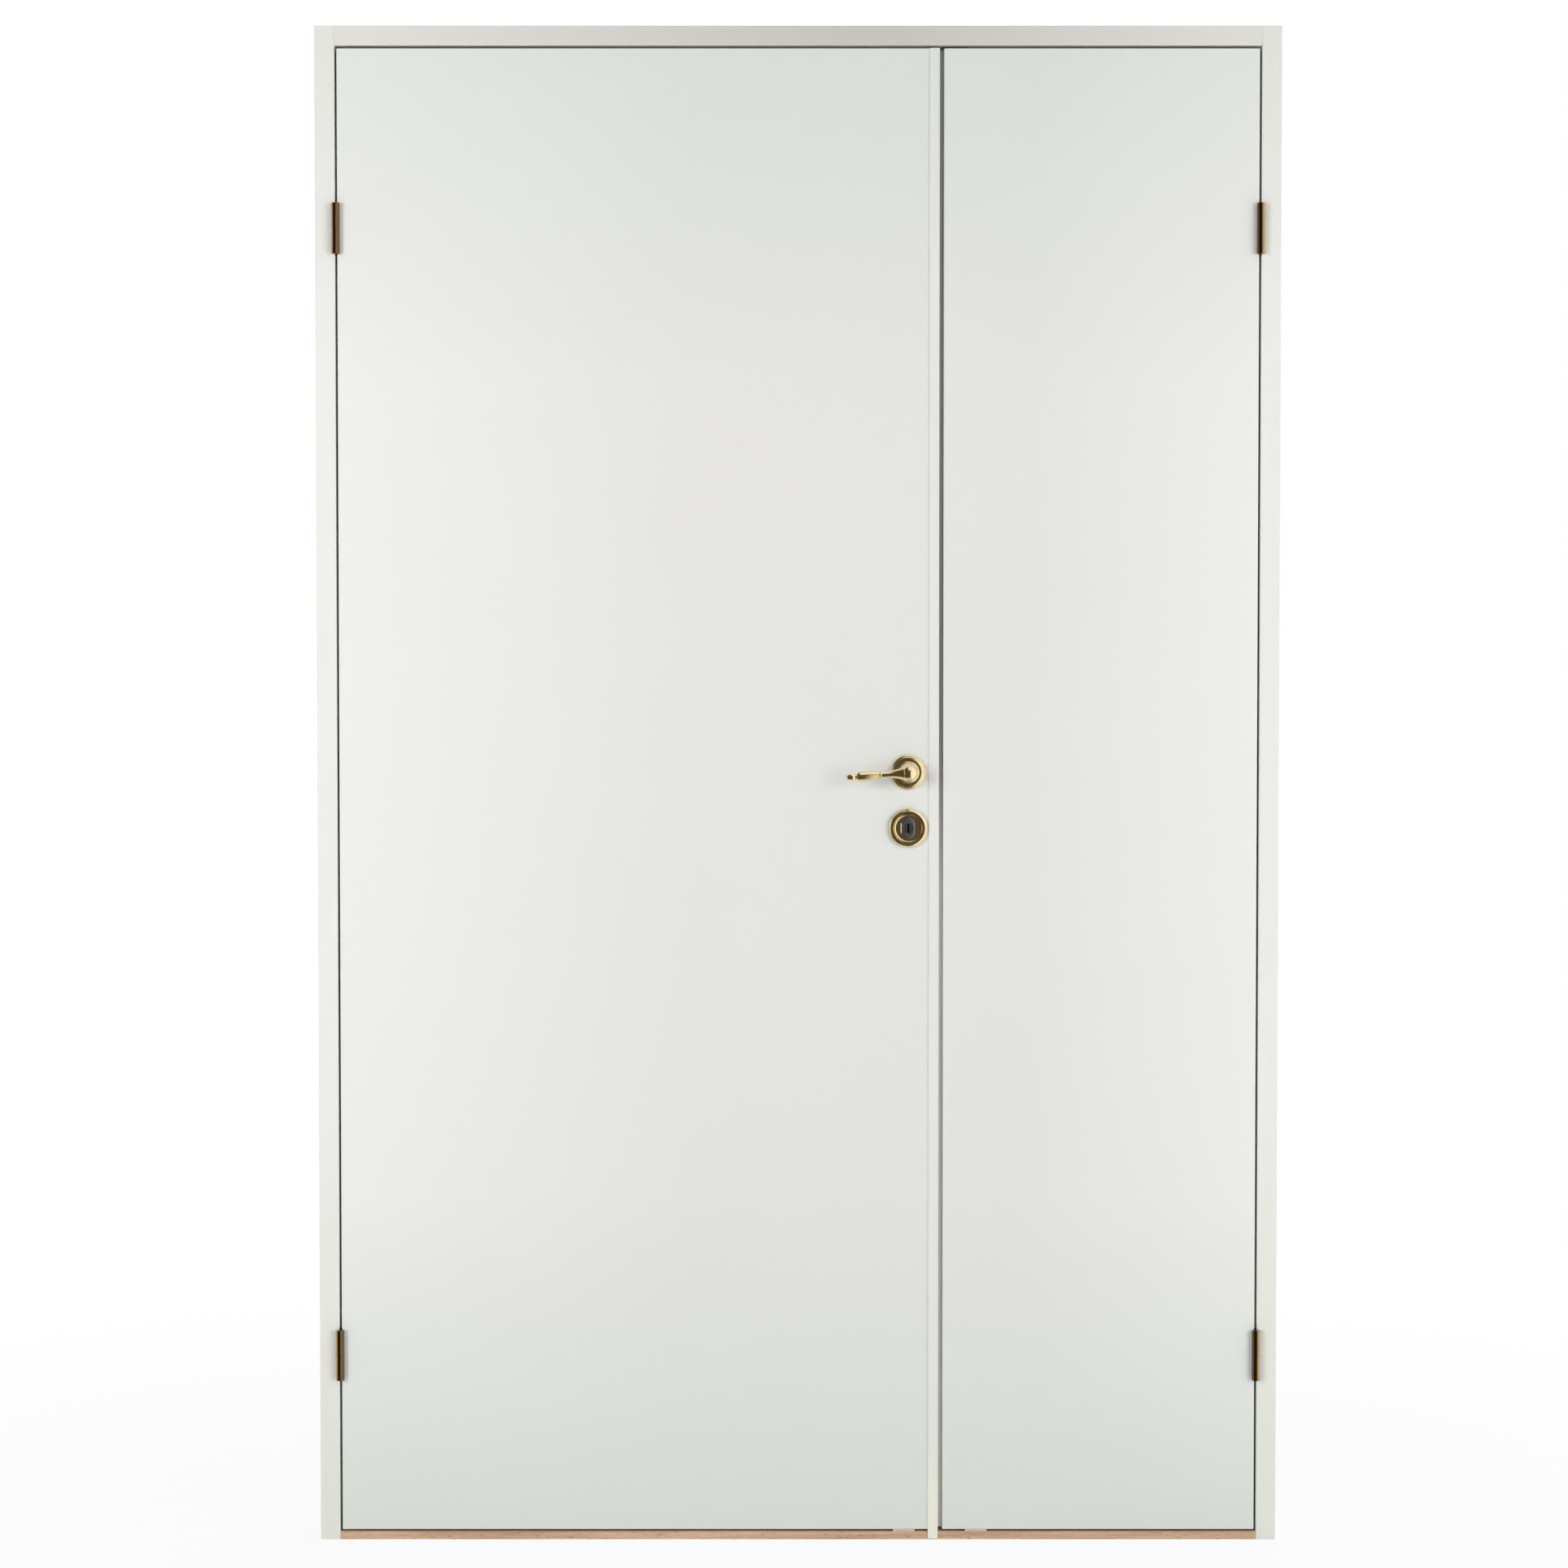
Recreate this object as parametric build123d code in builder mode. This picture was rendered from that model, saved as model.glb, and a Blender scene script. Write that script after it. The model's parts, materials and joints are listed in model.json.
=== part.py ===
from build123d import *
import os
from math import cos, radians, sin

os.makedirs("parts", exist_ok=True)

# All sizes are in millimetres. X runs to the right as seen from the side that the leaves open
# to, Y runs away from that side, and Z runs up. The origin is on the floor, midway between the
# frame's outer sides and in the middle of the leaves' thickness.

# Leaves and the gaps round them
active_width = 825.0
passive_width = 432.0
leaf_height = 2040.0
leaf_thickness = 40.0
leaf_edge_radius = 1.5
side_gap = 3.0
head_gap = 3.5
meeting_gap = 6.0
sill_gap = 3.0

# Meeting strip on the active leaf, which hangs down in front of the threshold
strip_width = 14.0
strip_thickness = 1.6
strip_edge_radius = 0.6
strip_floor_gap = 1.5

# Soft lip in the active leaf's meeting edge, which closes the line of sight between the leaves
lip_setback = 6.0
lip_thickness = 3.0
lip_groove = 5.0
lip_leaf_gap = 0.4
lip_end_inset = 2.5

# Frame
frame_face = 27.0
frame_depth = 92.0
frame_edge_radius = 1.0
stop_height = 15.0
stop_clearance = 4.0

# Seals in the stops
seal_width = 6.0
seal_stem = 3.0
seal_stem_depth = 8.0
seal_leaf_gap = 0.3
seal_corner_radius = 1.6

# Threshold
sill_front_height = 11.0
sill_stop_rise = 14.0
sill_setback = 0.5
sill_back_chamfer = 8.0
sill_edge_radius = 1.5
pad_length = 30.0
pad_depth = 18.0
pad_leaf_gap = 0.3
pad_spread = 100.0

# Hinges: each is a lift-off pair of knuckles with a plate let into the wood
lower_hinge_rise = 244.0
upper_hinge_drop = 246.0
knuckle_radius = 6.0
knuckle_face_gap = 0.3
knuckle_tip_radius = 1.2
hinge_length = 70.0
hinge_bearing_gap = 0.3
hinge_plate = 2.0
hinge_plate_depth = 30.0
hinge_pin_radius = 3.0
hinge_pin_reach = 28.0
hinge_pin_clearance = 0.05

# Countersunk screws
screw_radius = 2.0
screw_head_radius = 3.5
screw_length = 25.0
plate_screw_inset = 12.0
hinge_screw_inset = 15.0
corner_screw_radius = 2.5
corner_screw_head_radius = 4.5
corner_screw_bite = 40.0
corner_screw_inset = 20.0
small_screw_radius = 1.5
small_screw_head_radius = 2.8
small_screw_length = 11.0

# Adjusting sleeves for the wall screws
sleeve_radius = 7.0
sleeve_bore_radius = 5.0
sleeve_rise = 406.0
sleeve_drop = 114.0
sleeve_count = 4

# Lever handle
handle_height = 1064.0
backset = 42.0
lever_reach = 86.5
lever_projection = 43.0
lever_droop = 4.0
shank_radius = 9.0
shank_clearance = 0.1
elbow_radius = 12.0
flare_radius = 10.5
flare_start = 5.0
flare_middle_radius = 6.4
flare_middle = 16.0
flare_end = 30.0
neck_radius = 4.6
neck_reach = 38.0
bead_radius = 5.7
grip_start_radius = 5.0
grip_middle_radius = 6.4
grip_radius = 7.2
grip_start = 41.0
grip_full = 65.0
grip_end = 71.5
grip_end_radius = 5.5
groove_radius = 4.0
knob_start = 74.5
knob_radius = 5.2
knob_shoulder = 82.5
knob_shoulder_radius = 4.5
collar_radius = 13.0
collar_thickness = 2.0
waist_radius = 8.5
spindle_size = 8.0
spindle_end_gap = 10.0
spindle_bore_radius = 10.5
grub_radius = 2.5
grub_depth = 18.0
grub_length = 3.5
handle_angle = 45.0

# Roses
rose_radius = 24.5
rose_rim = 1.8
rose_step_radius = 16.8
rose_step = 7.0
rose_collar_radius = 14.5
rose_collar = 10.4
rose_edge_radius = 1.2
rose_base_radius = 20.0
rose_base_thickness = 4.5
rose_screw_circle = 15.0
lever_rose_gap = 0.3

# Cylinder and thumbturn
lock_spacing = 77.0
ring_radius = 27.0
ring_rim = 2.5
ring_height = 9.0
ring_crest_radius = 22.5
ring_dish_radius = 20.5
ring_floor_radius = 17.0
ring_floor = 3.5
oval_height = 30.0
oval_width = 17.0
oval_proud = 5.5
oval_edge_radius = 1.0
plug_radius = 7.0
plug_clearance = 0.05
plug_proud = 0.6
plug_foot_gap = 0.3
keyway_width = 2.2
keyway_height = 12.5
keyway_depth = 9.0
turn_rose_radius = 25.0
turn_rose_thickness = 7.0
turn_rose_flat_radius = 20.0
turn_shank_radius = 7.0
turn_neck = 13.0
turn_grip_height = 32.0
turn_grip_width = 11.0
turn_grip_depth = 15.0
turn_grip_edge = 3.0
turn_square = 5.0
turn_socket = 8.0
turn_bore_radius = 8.0

# Lock case
forend_width = 20.0
forend_thickness = 3.0
forend_over = 20.0
forend_screw_inset = 9.0
case_depth = 60.0
case_width = 15.0
case_wall = 1.5
case_over_handle = 34.0
case_under_lock = 24.0
case_clearance = 0.5
post_radius = 3.5
post_drop = 30.0
post_inset = 10.0
cover_screw_bite = 3.0
follower_radius = 11.0
follower_journal = 8.0
journal_clearance = 0.1
follower_side_gap = 0.3
arm_thickness = 4.0
arm_width = 3.6
arm_tip_radius = 3.0
arm_slot_gap = 0.3
hub_gap = 1.5

# Latch bolt
latch_throw = 12.0
latch_thickness = 11.0
latch_height = 18.0
latch_bevel_depth = 9.0
latch_head_length = 22.0
latch_tail_height = 9.5
latch_hook = 4.0
bolt_hole_gap = 0.3
spring_radius = 3.4
spring_wire = 0.5
spring_turns = 4

# Dead bolt
bolt_throw = 14.0
bolt_thickness = 9.0
bolt_height = 20.0
bolt_hook = 4.2
cam_radius = 6.0
cam_angle = 90.0
cam_arm_width = 3.0
cam_tip_radius = 2.2
cam_slot_gap = 0.6
cam_tip_dip = 0.2
cam_journal = 5.0

# Strike plate on the passive leaf
strike_thickness = 3.0
strike_hole_gap = 2.0
strike_pocket = 18.0

# Edge bolts of the passive leaf
edge_plate_width = 18.0
edge_plate_thickness = 2.5
edge_plate_length = 150.0
edge_plate_inset = 35.0
edge_screw_offset = 6.0
edge_bolt_radius = 4.0
edge_bolt_clearance = 0.1
edge_bolt_depth = 10.0
edge_bolt_travel = 12.0
edge_bolt_recess = 1.0
edge_channel_width = 12.0
edge_channel_depth = 16.0
edge_channel_margin = 14.0
slide_height = 14.0
slide_width = 7.0
slide_proud = 1.2
slide_gap = 0.5
keeper_length = 50.0
keeper_width = 18.0
keeper_thickness = 2.5
keeper_hole_radius = 5.0
keeper_hole_depth = 9.5
keeper_screw_spread = 34.0

# Lines and levels that follow from the sizes above
opening_width = active_width + passive_width + meeting_gap + 2 * side_gap
frame_width = opening_width + 2 * frame_face
front_face = -leaf_thickness / 2
back_face = leaf_thickness / 2
frame_back = front_face + frame_depth
stop_face = back_face + stop_clearance
leaf_bottom = sill_front_height + sill_gap
leaf_top = leaf_bottom + leaf_height
hinge_heights = (leaf_bottom + lower_hinge_rise, leaf_top - upper_hinge_drop)
sleeve_step = (leaf_height - sleeve_rise - sleeve_drop) / (sleeve_count - 1)
sleeve_heights = [leaf_bottom + sleeve_rise + index * sleeve_step for index in range(sleeve_count)]
head_underside = leaf_top + head_gap
head_stop_underside = head_underside - stop_height
frame_height = head_underside + frame_face
sill_top = sill_front_height + sill_stop_rise
active_hinge_edge = -opening_width / 2 + side_gap
active_meeting_edge = active_hinge_edge + active_width
passive_meeting_edge = active_meeting_edge + meeting_gap
passive_hinge_edge = passive_meeting_edge + passive_width
lip_y = front_face + lip_setback + lip_thickness / 2
hinge_axis_y = front_face - knuckle_face_gap - knuckle_radius
spindle_x = active_meeting_edge - backset
lock_height = handle_height - lock_spacing
case_front = active_meeting_edge - forend_thickness
case_back = case_front - case_depth
case_top = handle_height + case_over_handle
case_bottom = lock_height - case_under_lock
forend_top = case_top + forend_over
forend_bottom = case_bottom - forend_over

# The follower's arm swings evenly to both sides of upright, and so does the cam's
arm_reach = latch_throw / (2 * sin(radians(handle_angle / 2)))
cam_reach = bolt_throw / (2 * sin(radians(cam_angle / 2)))
latch_slot_x = spindle_x + latch_throw / 2
latch_floor = handle_height + follower_radius + hub_gap
latch_middle = latch_floor + latch_tail_height / 2
bolt_slot_x = spindle_x - bolt_throw / 2
bolt_floor = lock_height + cam_reach * cos(radians(cam_angle / 2)) - cam_tip_dip
bolt_middle = bolt_floor + bolt_height / 2


def edge_plane(x, y, z, facing):
    """A plane on an upright surface at x that faces along plus or minus X."""
    return Plane(origin=(x, y, z), x_dir=(0, 1, 0), z_dir=(facing, 0, 0))


def turning_plane(x, z, outward):
    """A half section for turned pieces on a leaf's face: its x is the radius, its y is height off it."""
    return Plane(origin=(x, outward * leaf_thickness / 2, z), x_dir=(1, 0, 0), z_dir=(0, 0, outward))


def face_plane(x, z, outward):
    """A plane on a leaf's front face (outward -1) or back face (outward 1)."""
    return Plane(origin=(x, outward * leaf_thickness / 2, z), x_dir=(1, 0, 0), z_dir=(0, outward, 0))


def finish(piece, label):
    """Names a finished piece and writes it."""
    piece.part.label = label
    export_step(piece.part, f"parts/{label}.step")


def screw(radius, head_radius, length):
    """A countersunk screw along -Z with its head's face at the origin."""
    head_depth = head_radius - radius
    with BuildPart() as piece:
        with BuildSketch(Plane.XZ):
            with BuildLine():
                Polyline(
                    (0, 0),
                    (head_radius, 0),
                    (radius, -head_depth),
                    (radius, radius - length),
                    (0, -length),
                    close=True,
                )
            make_face()
        revolve(axis=Axis.Z)
    return piece.part


def screws(label, planes, radius=screw_radius, head_radius=screw_head_radius, length=screw_length):
    """Identical screws, one at each plane."""
    blank = screw(radius, head_radius, length)
    with BuildPart() as group:
        with Locations(*planes):
            add(blank)
    finish(group, label)


def screw_seats(planes, radius=screw_radius, head_radius=screw_head_radius, length=screw_length):
    """Cuts the countersunk seat and the shank's hole for each screw in the piece being made."""
    seat = screw(radius, head_radius, length)
    with Locations(*planes):
        add(seat, mode=Mode.SUBTRACT)


# Where the screws stand: each plane lies on the outer face that the screw's head is flush with
def hinge_axis_x(side):
    """The upright line of the hinges beside the left jamb (side -1) or the right one (side 1)."""
    return side * (opening_width / 2 - side_gap / 2)


def hinge_screw_planes(side, on_frame):
    """The screws of the hinge plates on one jamb, or on the leaf's edge beside it."""
    face_x = side * opening_width / 2 if on_frame else side * (opening_width / 2 - side_gap)
    facing = -side if on_frame else side
    y = front_face + hinge_plate_depth / 2
    planes = []
    for height in hinge_heights:
        for end in (-1, 1):
            z = height + end * (hinge_length / 2 - hinge_screw_inset)
            planes.append(edge_plane(face_x, y, z, facing))
    return planes


def corner_screw_planes(side):
    """The screws through one jamb into the ends of the head and the threshold."""
    planes = []
    for y in (front_face + corner_screw_inset, frame_back - corner_screw_inset):
        for z in (sill_front_height / 2, head_underside + frame_face / 2):
            planes.append(edge_plane(side * frame_width / 2, y, z, side))
    return planes


corner_screw_length = frame_face + corner_screw_bite
keeper_x = passive_meeting_edge + edge_bolt_depth
head_keeper_planes = []
sill_keeper_planes = []
for end in (-1, 1):
    screw_x = keeper_x + end * keeper_screw_spread / 2
    head_keeper_planes.append(Plane(origin=(screw_x, 0, head_underside), z_dir=(0, 0, -1)))
    sill_keeper_planes.append(Plane(origin=(screw_x, 0, sill_front_height), z_dir=(0, 0, 1)))
keeper_screw_length = sill_front_height - strip_floor_gap
forend_screw_planes = [
    edge_plane(active_meeting_edge, 0, forend_top - forend_screw_inset, 1),
    edge_plane(active_meeting_edge, 0, forend_bottom + forend_screw_inset, 1),
]
strike_screw_planes = [
    edge_plane(passive_meeting_edge, 0, forend_top - forend_screw_inset, -1),
    edge_plane(passive_meeting_edge, 0, forend_bottom + forend_screw_inset, -1),
]
rose_screw_planes = []
for outward in (-1, 1):
    for end in (-1, 1):
        base_face = face_plane(spindle_x, handle_height + end * rose_screw_circle, outward)
        rose_screw_planes.append(base_face.offset(rose_base_thickness))
turn_screw_planes = [
    face_plane(spindle_x + end * rose_screw_circle, lock_height, 1).offset(turn_rose_thickness)
    for end in (-1, 1)
]


# Jambs
def jamb(side, label):
    """One jamb: a post with a rebate for the leaf, whose stop carries the seal."""
    outer = side * frame_width / 2
    inner = side * opening_width / 2
    stop_edge = side * (opening_width / 2 - stop_height)
    with BuildPart() as piece:
        with BuildSketch():
            with BuildLine():
                Polyline(
                    (outer, front_face),
                    (inner, front_face),
                    (inner, stop_face),
                    (stop_edge, stop_face),
                    (stop_edge, frame_back),
                    (outer, frame_back),
                    close=True,
                )
            make_face()
        extrude(amount=frame_height)
        uprights = piece.edges().filter_by(Axis.Z)
        fillet(uprights.group_by(Axis.Y)[0], frame_edge_radius)
        stop_corners = piece.edges().filter_by(Axis.Z).group_by(Axis.X)[-1 if side < 0 else 0]
        fillet(stop_corners, frame_edge_radius)
        with BuildSketch(Plane.XY.offset(sill_top)):
            with Locations((side * (opening_width - stop_height) / 2, stop_face + seal_stem_depth / 2)):
                Rectangle(seal_stem, seal_stem_depth)
        extrude(amount=head_underside - stop_height / 2 + seal_width / 2 - sill_top, mode=Mode.SUBTRACT)
        for height in hinge_heights:
            with BuildSketch(Plane.XY.offset(height - hinge_length / 2)):
                with Locations((inner + side * hinge_plate / 2, front_face + hinge_plate_depth / 2)):
                    Rectangle(hinge_plate, hinge_plate_depth)
            extrude(amount=hinge_length, mode=Mode.SUBTRACT)
        screw_seats(hinge_screw_planes(side, True))
        screw_seats(
            corner_screw_planes(side), corner_screw_radius, corner_screw_head_radius, corner_screw_length
        )
        with Locations(*[edge_plane(inner, 0, height, -side) for height in sleeve_heights]):
            Hole(radius=sleeve_radius, depth=frame_face)
    finish(piece, label)


jamb(-1, "left_jamb")
jamb(1, "right_jamb")


def notch_ends(low, height):
    """Cuts both ends of a cross piece so that it fits round the jambs' stops."""
    with BuildSketch(Plane.XY.offset(low)) as notches:
        with Locations(
            (-(opening_width - stop_height) / 2, (stop_face + frame_back) / 2),
            ((opening_width - stop_height) / 2, (stop_face + frame_back) / 2),
        ):
            Rectangle(stop_height, frame_back - stop_face)
    extrude(notches.sketch, amount=height, mode=Mode.SUBTRACT)


# Head jamb, between the two jambs
cross_plane = Plane.YZ.offset(-opening_width / 2)
head_seal_z = head_underside - stop_height / 2
with BuildPart() as head_jamb:
    with BuildSketch(cross_plane):
        with BuildLine():
            Polyline(
                (front_face, head_underside),
                (front_face, frame_height),
                (frame_back, frame_height),
                (frame_back, head_stop_underside),
                (stop_face, head_stop_underside),
                (stop_face, head_underside),
                close=True,
            )
        make_face()
    extrude(amount=opening_width)
    fillet(head_jamb.edges().filter_by(Axis.X).group_by(Axis.Y)[0], frame_edge_radius)
    fillet(head_jamb.edges().filter_by(Axis.X).group_by(Axis.Z)[0], frame_edge_radius)
    notch_ends(head_stop_underside, stop_height + frame_face)
    with BuildSketch(cross_plane):
        with Locations((stop_face + seal_stem_depth / 2, head_seal_z)):
            Rectangle(seal_stem_depth, seal_stem)
    extrude(amount=opening_width, mode=Mode.SUBTRACT)
    with BuildSketch(Plane.XY.offset(head_underside)):
        with Locations((keeper_x, 0)):
            Rectangle(keeper_length, keeper_width)
    extrude(amount=keeper_thickness, mode=Mode.SUBTRACT)
    with BuildSketch(Plane.XY.offset(head_underside)):
        with Locations((keeper_x, 0)):
            Circle(keeper_hole_radius)
    extrude(amount=keeper_hole_depth, mode=Mode.SUBTRACT)
    screw_seats(head_keeper_planes, length=keeper_screw_length)
    for side in (-1, 1):
        screw_seats(
            corner_screw_planes(side), corner_screw_radius, corner_screw_head_radius, corner_screw_length
        )
finish(head_jamb, "head_jamb")

# Threshold: low under the leaves, with a rise behind them that works as their lower stop
with BuildPart() as threshold:
    with BuildSketch(cross_plane):
        with BuildLine():
            Polyline(
                (front_face + sill_setback, 0),
                (front_face + sill_setback, sill_front_height),
                (stop_face, sill_front_height),
                (stop_face, sill_top),
                (frame_back, sill_top),
                (frame_back, 0),
                close=True,
            )
        make_face()
    extrude(amount=opening_width)
    crests = threshold.edges().filter_by(Axis.X).group_by(Axis.Z)[-1].sort_by(Axis.Y)
    chamfer(crests[-1], sill_back_chamfer)
    crest = threshold.edges().filter_by(Axis.X).group_by(Axis.Z)[-1].sort_by(Axis.Y)[0]
    fillet(crest, sill_edge_radius)
    nose = threshold.edges().filter_by(Axis.X).group_by(Axis.Y)[0].sort_by(Axis.Z)[-1]
    fillet(nose, sill_edge_radius)
    notch_ends(0, sill_top)
    with BuildSketch(Plane.XY.offset(sill_front_height)):
        with Locations((keeper_x, 0)):
            Rectangle(keeper_length, keeper_width)
    extrude(amount=-keeper_thickness, mode=Mode.SUBTRACT)
    with BuildSketch(Plane.XY.offset(sill_front_height)):
        with Locations((keeper_x, 0)):
            Circle(keeper_hole_radius)
    extrude(amount=-keeper_hole_depth, mode=Mode.SUBTRACT)
    screw_seats(sill_keeper_planes, length=keeper_screw_length)
    for side in (-1, 1):
        screw_seats(
            corner_screw_planes(side), corner_screw_radius, corner_screw_head_radius, corner_screw_length
        )
finish(threshold, "threshold")

# Two pads on the threshold, one each side of the meeting edges, that the leaves pass over
pad_height = sill_gap - pad_leaf_gap
meeting_line = (active_meeting_edge + passive_meeting_edge) / 2
with BuildPart() as threshold_pads:
    with BuildSketch(Plane.XY.offset(sill_front_height)):
        with Locations(
            (meeting_line - pad_spread / 2, front_face + sill_setback + sill_edge_radius + pad_depth / 2),
            (meeting_line + pad_spread / 2, front_face + sill_setback + sill_edge_radius + pad_depth / 2),
        ):
            Rectangle(pad_length, pad_depth)
    extrude(amount=pad_height)
finish(threshold_pads, "threshold_pads")


# Keepers for the passive leaf's bolts
def keeper(level, upward, planes, label):
    """A flat plate let into the head (upward 1) or the threshold (upward -1)."""
    with BuildPart() as piece:
        with BuildSketch(Plane.XY.offset(level)):
            with Locations((keeper_x, 0)):
                Rectangle(keeper_length, keeper_width)
                Circle(keeper_hole_radius, mode=Mode.SUBTRACT)
        extrude(amount=upward * keeper_thickness)
        screw_seats(planes, length=keeper_screw_length)
    finish(piece, label)


keeper(head_underside, 1, head_keeper_planes, "head_keeper")
keeper(sill_front_height, -1, sill_keeper_planes, "threshold_keeper")
screws("keeper_screws", head_keeper_planes + sill_keeper_planes, length=keeper_screw_length)


# Seals: a stem in the stop's groove and a soft bulb just clear of the closed leaf
seal_bulb = stop_clearance - seal_leaf_gap
side_seal_top = head_seal_z + seal_width / 2


def side_seal(side, label):
    """The upright seal of one jamb's stop."""
    x = side * (opening_width - stop_height) / 2
    with BuildPart() as piece:
        with BuildSketch(Plane.XY.offset(sill_top)):
            with Locations((x, stop_face + seal_stem_depth / 2)):
                Rectangle(seal_stem, seal_stem_depth)
            with Locations((x, stop_face - seal_bulb / 2)):
                RectangleRounded(seal_width, seal_bulb, seal_corner_radius)
        extrude(amount=side_seal_top - sill_top)
    finish(piece, label)


side_seal(-1, "left_seal")
side_seal(1, "right_seal")
head_seal_length = opening_width - stop_height - seal_width
head_stem_length = opening_width - 2 * stop_height
with BuildPart() as head_seal:
    with BuildSketch(Plane.YZ.offset(-head_seal_length / 2)):
        with Locations((stop_face - seal_bulb / 2, head_seal_z)):
            RectangleRounded(seal_bulb, seal_width, seal_corner_radius)
    extrude(amount=head_seal_length)
    with BuildSketch(Plane.YZ.offset(-head_stem_length / 2)):
        with Locations((stop_face + seal_stem_depth / 2, head_seal_z)):
            Rectangle(seal_stem_depth, seal_stem)
    extrude(amount=head_stem_length)
finish(head_seal, "head_seal")


# Hinges
def hinge_half(side, height, on_frame, label):
    """One half of a lift-off hinge: the frame's half carries the pin, the leaf's half drops on it."""
    axis_x = hinge_axis_x(side)
    wood = side if on_frame else -side
    plate_x = axis_x + wood * (side_gap + hinge_plate) / 2
    if on_frame:
        low, high = height - hinge_length / 2, height - hinge_bearing_gap / 2
        bore = hinge_pin_radius
    else:
        low, high = height + hinge_bearing_gap / 2, height + hinge_length / 2
        bore = hinge_pin_radius + hinge_pin_clearance
    with BuildPart() as piece:
        with BuildSketch(Plane.XY.offset(low)):
            with Locations((axis_x, hinge_axis_y)):
                Circle(knuckle_radius)
        extrude(amount=high - low)
        tip = piece.faces().sort_by(Axis.Z)[0 if on_frame else -1]
        fillet(tip.edges(), knuckle_tip_radius)
        neck_low = low + knuckle_tip_radius if on_frame else low
        with BuildSketch(Plane.XY.offset(neck_low)):
            with Locations((plate_x, (hinge_axis_y + front_face) / 2)):
                Rectangle(hinge_plate, front_face - hinge_axis_y)
        extrude(amount=high - low - knuckle_tip_radius)
        with BuildSketch(Plane.XY.offset(height - hinge_length / 2)):
            with Locations((plate_x, front_face + hinge_plate_depth / 2)):
                Rectangle(hinge_plate, hinge_plate_depth)
        extrude(amount=hinge_length)
        with BuildSketch(Plane.XY.offset(height - hinge_pin_reach)):
            with Locations((axis_x, hinge_axis_y)):
                Circle(bore)
        extrude(amount=2 * hinge_pin_reach, mode=Mode.SUBTRACT)
        screw_seats(hinge_screw_planes(side, on_frame))
    finish(piece, label)


for side, leaf_name in ((-1, "active"), (1, "passive")):
    for height, level in zip(hinge_heights, ("lower", "upper")):
        hinge_half(side, height, True, f"{leaf_name}_{level}_frame_hinge")
        hinge_half(side, height, False, f"{leaf_name}_{level}_leaf_hinge")
    screws(f"{leaf_name}_leaf_hinge_screws", hinge_screw_planes(side, False))
with BuildPart() as hinge_pins:
    for height in hinge_heights:
        with BuildSketch(Plane.XY.offset(height - hinge_pin_reach)):
            with Locations((hinge_axis_x(-1), hinge_axis_y), (hinge_axis_x(1), hinge_axis_y)):
                Circle(hinge_pin_radius)
        extrude(amount=2 * hinge_pin_reach - hinge_bearing_gap)
finish(hinge_pins, "hinge_pins")
screws("frame_hinge_screws", hinge_screw_planes(-1, True) + hinge_screw_planes(1, True))
screws(
    "corner_screws",
    corner_screw_planes(-1) + corner_screw_planes(1),
    corner_screw_radius,
    corner_screw_head_radius,
    corner_screw_length,
)

# Sleeves that the wall screws pass through, hidden beside the closed leaves' edges
with BuildPart() as fixing_sleeves:
    for side in (-1, 1):
        for height in sleeve_heights:
            with BuildSketch(edge_plane(side * opening_width / 2, 0, height, side)):
                Circle(sleeve_radius)
                Circle(sleeve_bore_radius, mode=Mode.SUBTRACT)
            extrude(amount=frame_face)
finish(fixing_sleeves, "fixing_sleeves")


# Leaves
def slab(left, right):
    """The plain leaf between two upright edges, with softened edges, in the piece being made."""
    with BuildSketch(Plane.XY.offset(leaf_bottom)) as outline:
        with Locations(((left + right) / 2, 0)):
            Rectangle(right - left, leaf_thickness)
    block = extrude(outline.sketch, amount=leaf_height)
    fillet(block.edges(), leaf_edge_radius)


def leaf_hinge_recesses(side):
    """Recesses in a leaf's hinge edge for its hinge plates, with their screw holes."""
    edge_x = side * (opening_width / 2 - side_gap)
    for height in hinge_heights:
        with BuildSketch(Plane.XY.offset(height - hinge_length / 2)) as recess:
            with Locations((edge_x - side * hinge_plate / 2, front_face + hinge_plate_depth / 2)):
                Rectangle(hinge_plate, hinge_plate_depth)
        extrude(recess.sketch, amount=hinge_length, mode=Mode.SUBTRACT)
    screw_seats(hinge_screw_planes(side, False))


with BuildPart() as active_leaf:
    slab(active_hinge_edge, active_meeting_edge)
    leaf_hinge_recesses(-1)
    with BuildSketch(Plane.XY.offset(forend_bottom)):
        with Locations((active_meeting_edge - forend_thickness / 2, 0)):
            Rectangle(forend_thickness, forend_width)
    extrude(amount=forend_top - forend_bottom, mode=Mode.SUBTRACT)
    with BuildSketch(Plane.XY.offset(case_bottom - case_clearance)):
        with Locations((case_front - (case_depth + case_clearance) / 2, 0)):
            Rectangle(case_depth + case_clearance, case_width + 2 * case_clearance)
    extrude(amount=case_top - case_bottom + 2 * case_clearance, mode=Mode.SUBTRACT)
    with BuildSketch(Plane.XY.offset(leaf_bottom + lip_end_inset)):
        with Locations((active_meeting_edge - lip_groove / 2, lip_y)):
            Rectangle(lip_groove, lip_thickness)
    extrude(amount=leaf_height - 2 * lip_end_inset, mode=Mode.SUBTRACT)
    with Locations(face_plane(spindle_x, handle_height, 1)):
        Hole(radius=spindle_bore_radius, depth=leaf_thickness)
    with BuildSketch(face_plane(spindle_x, lock_height, -1)):
        SlotOverall(oval_height, oval_width, rotation=90)
    extrude(amount=-leaf_thickness / 2, mode=Mode.SUBTRACT)
    with Locations(face_plane(spindle_x, lock_height, 1)):
        Hole(radius=turn_bore_radius, depth=leaf_thickness / 2)
    screw_seats(forend_screw_planes)
    screw_seats(
        rose_screw_planes + turn_screw_planes, small_screw_radius, small_screw_head_radius, small_screw_length
    )
finish(active_leaf, "active_leaf")

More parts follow.
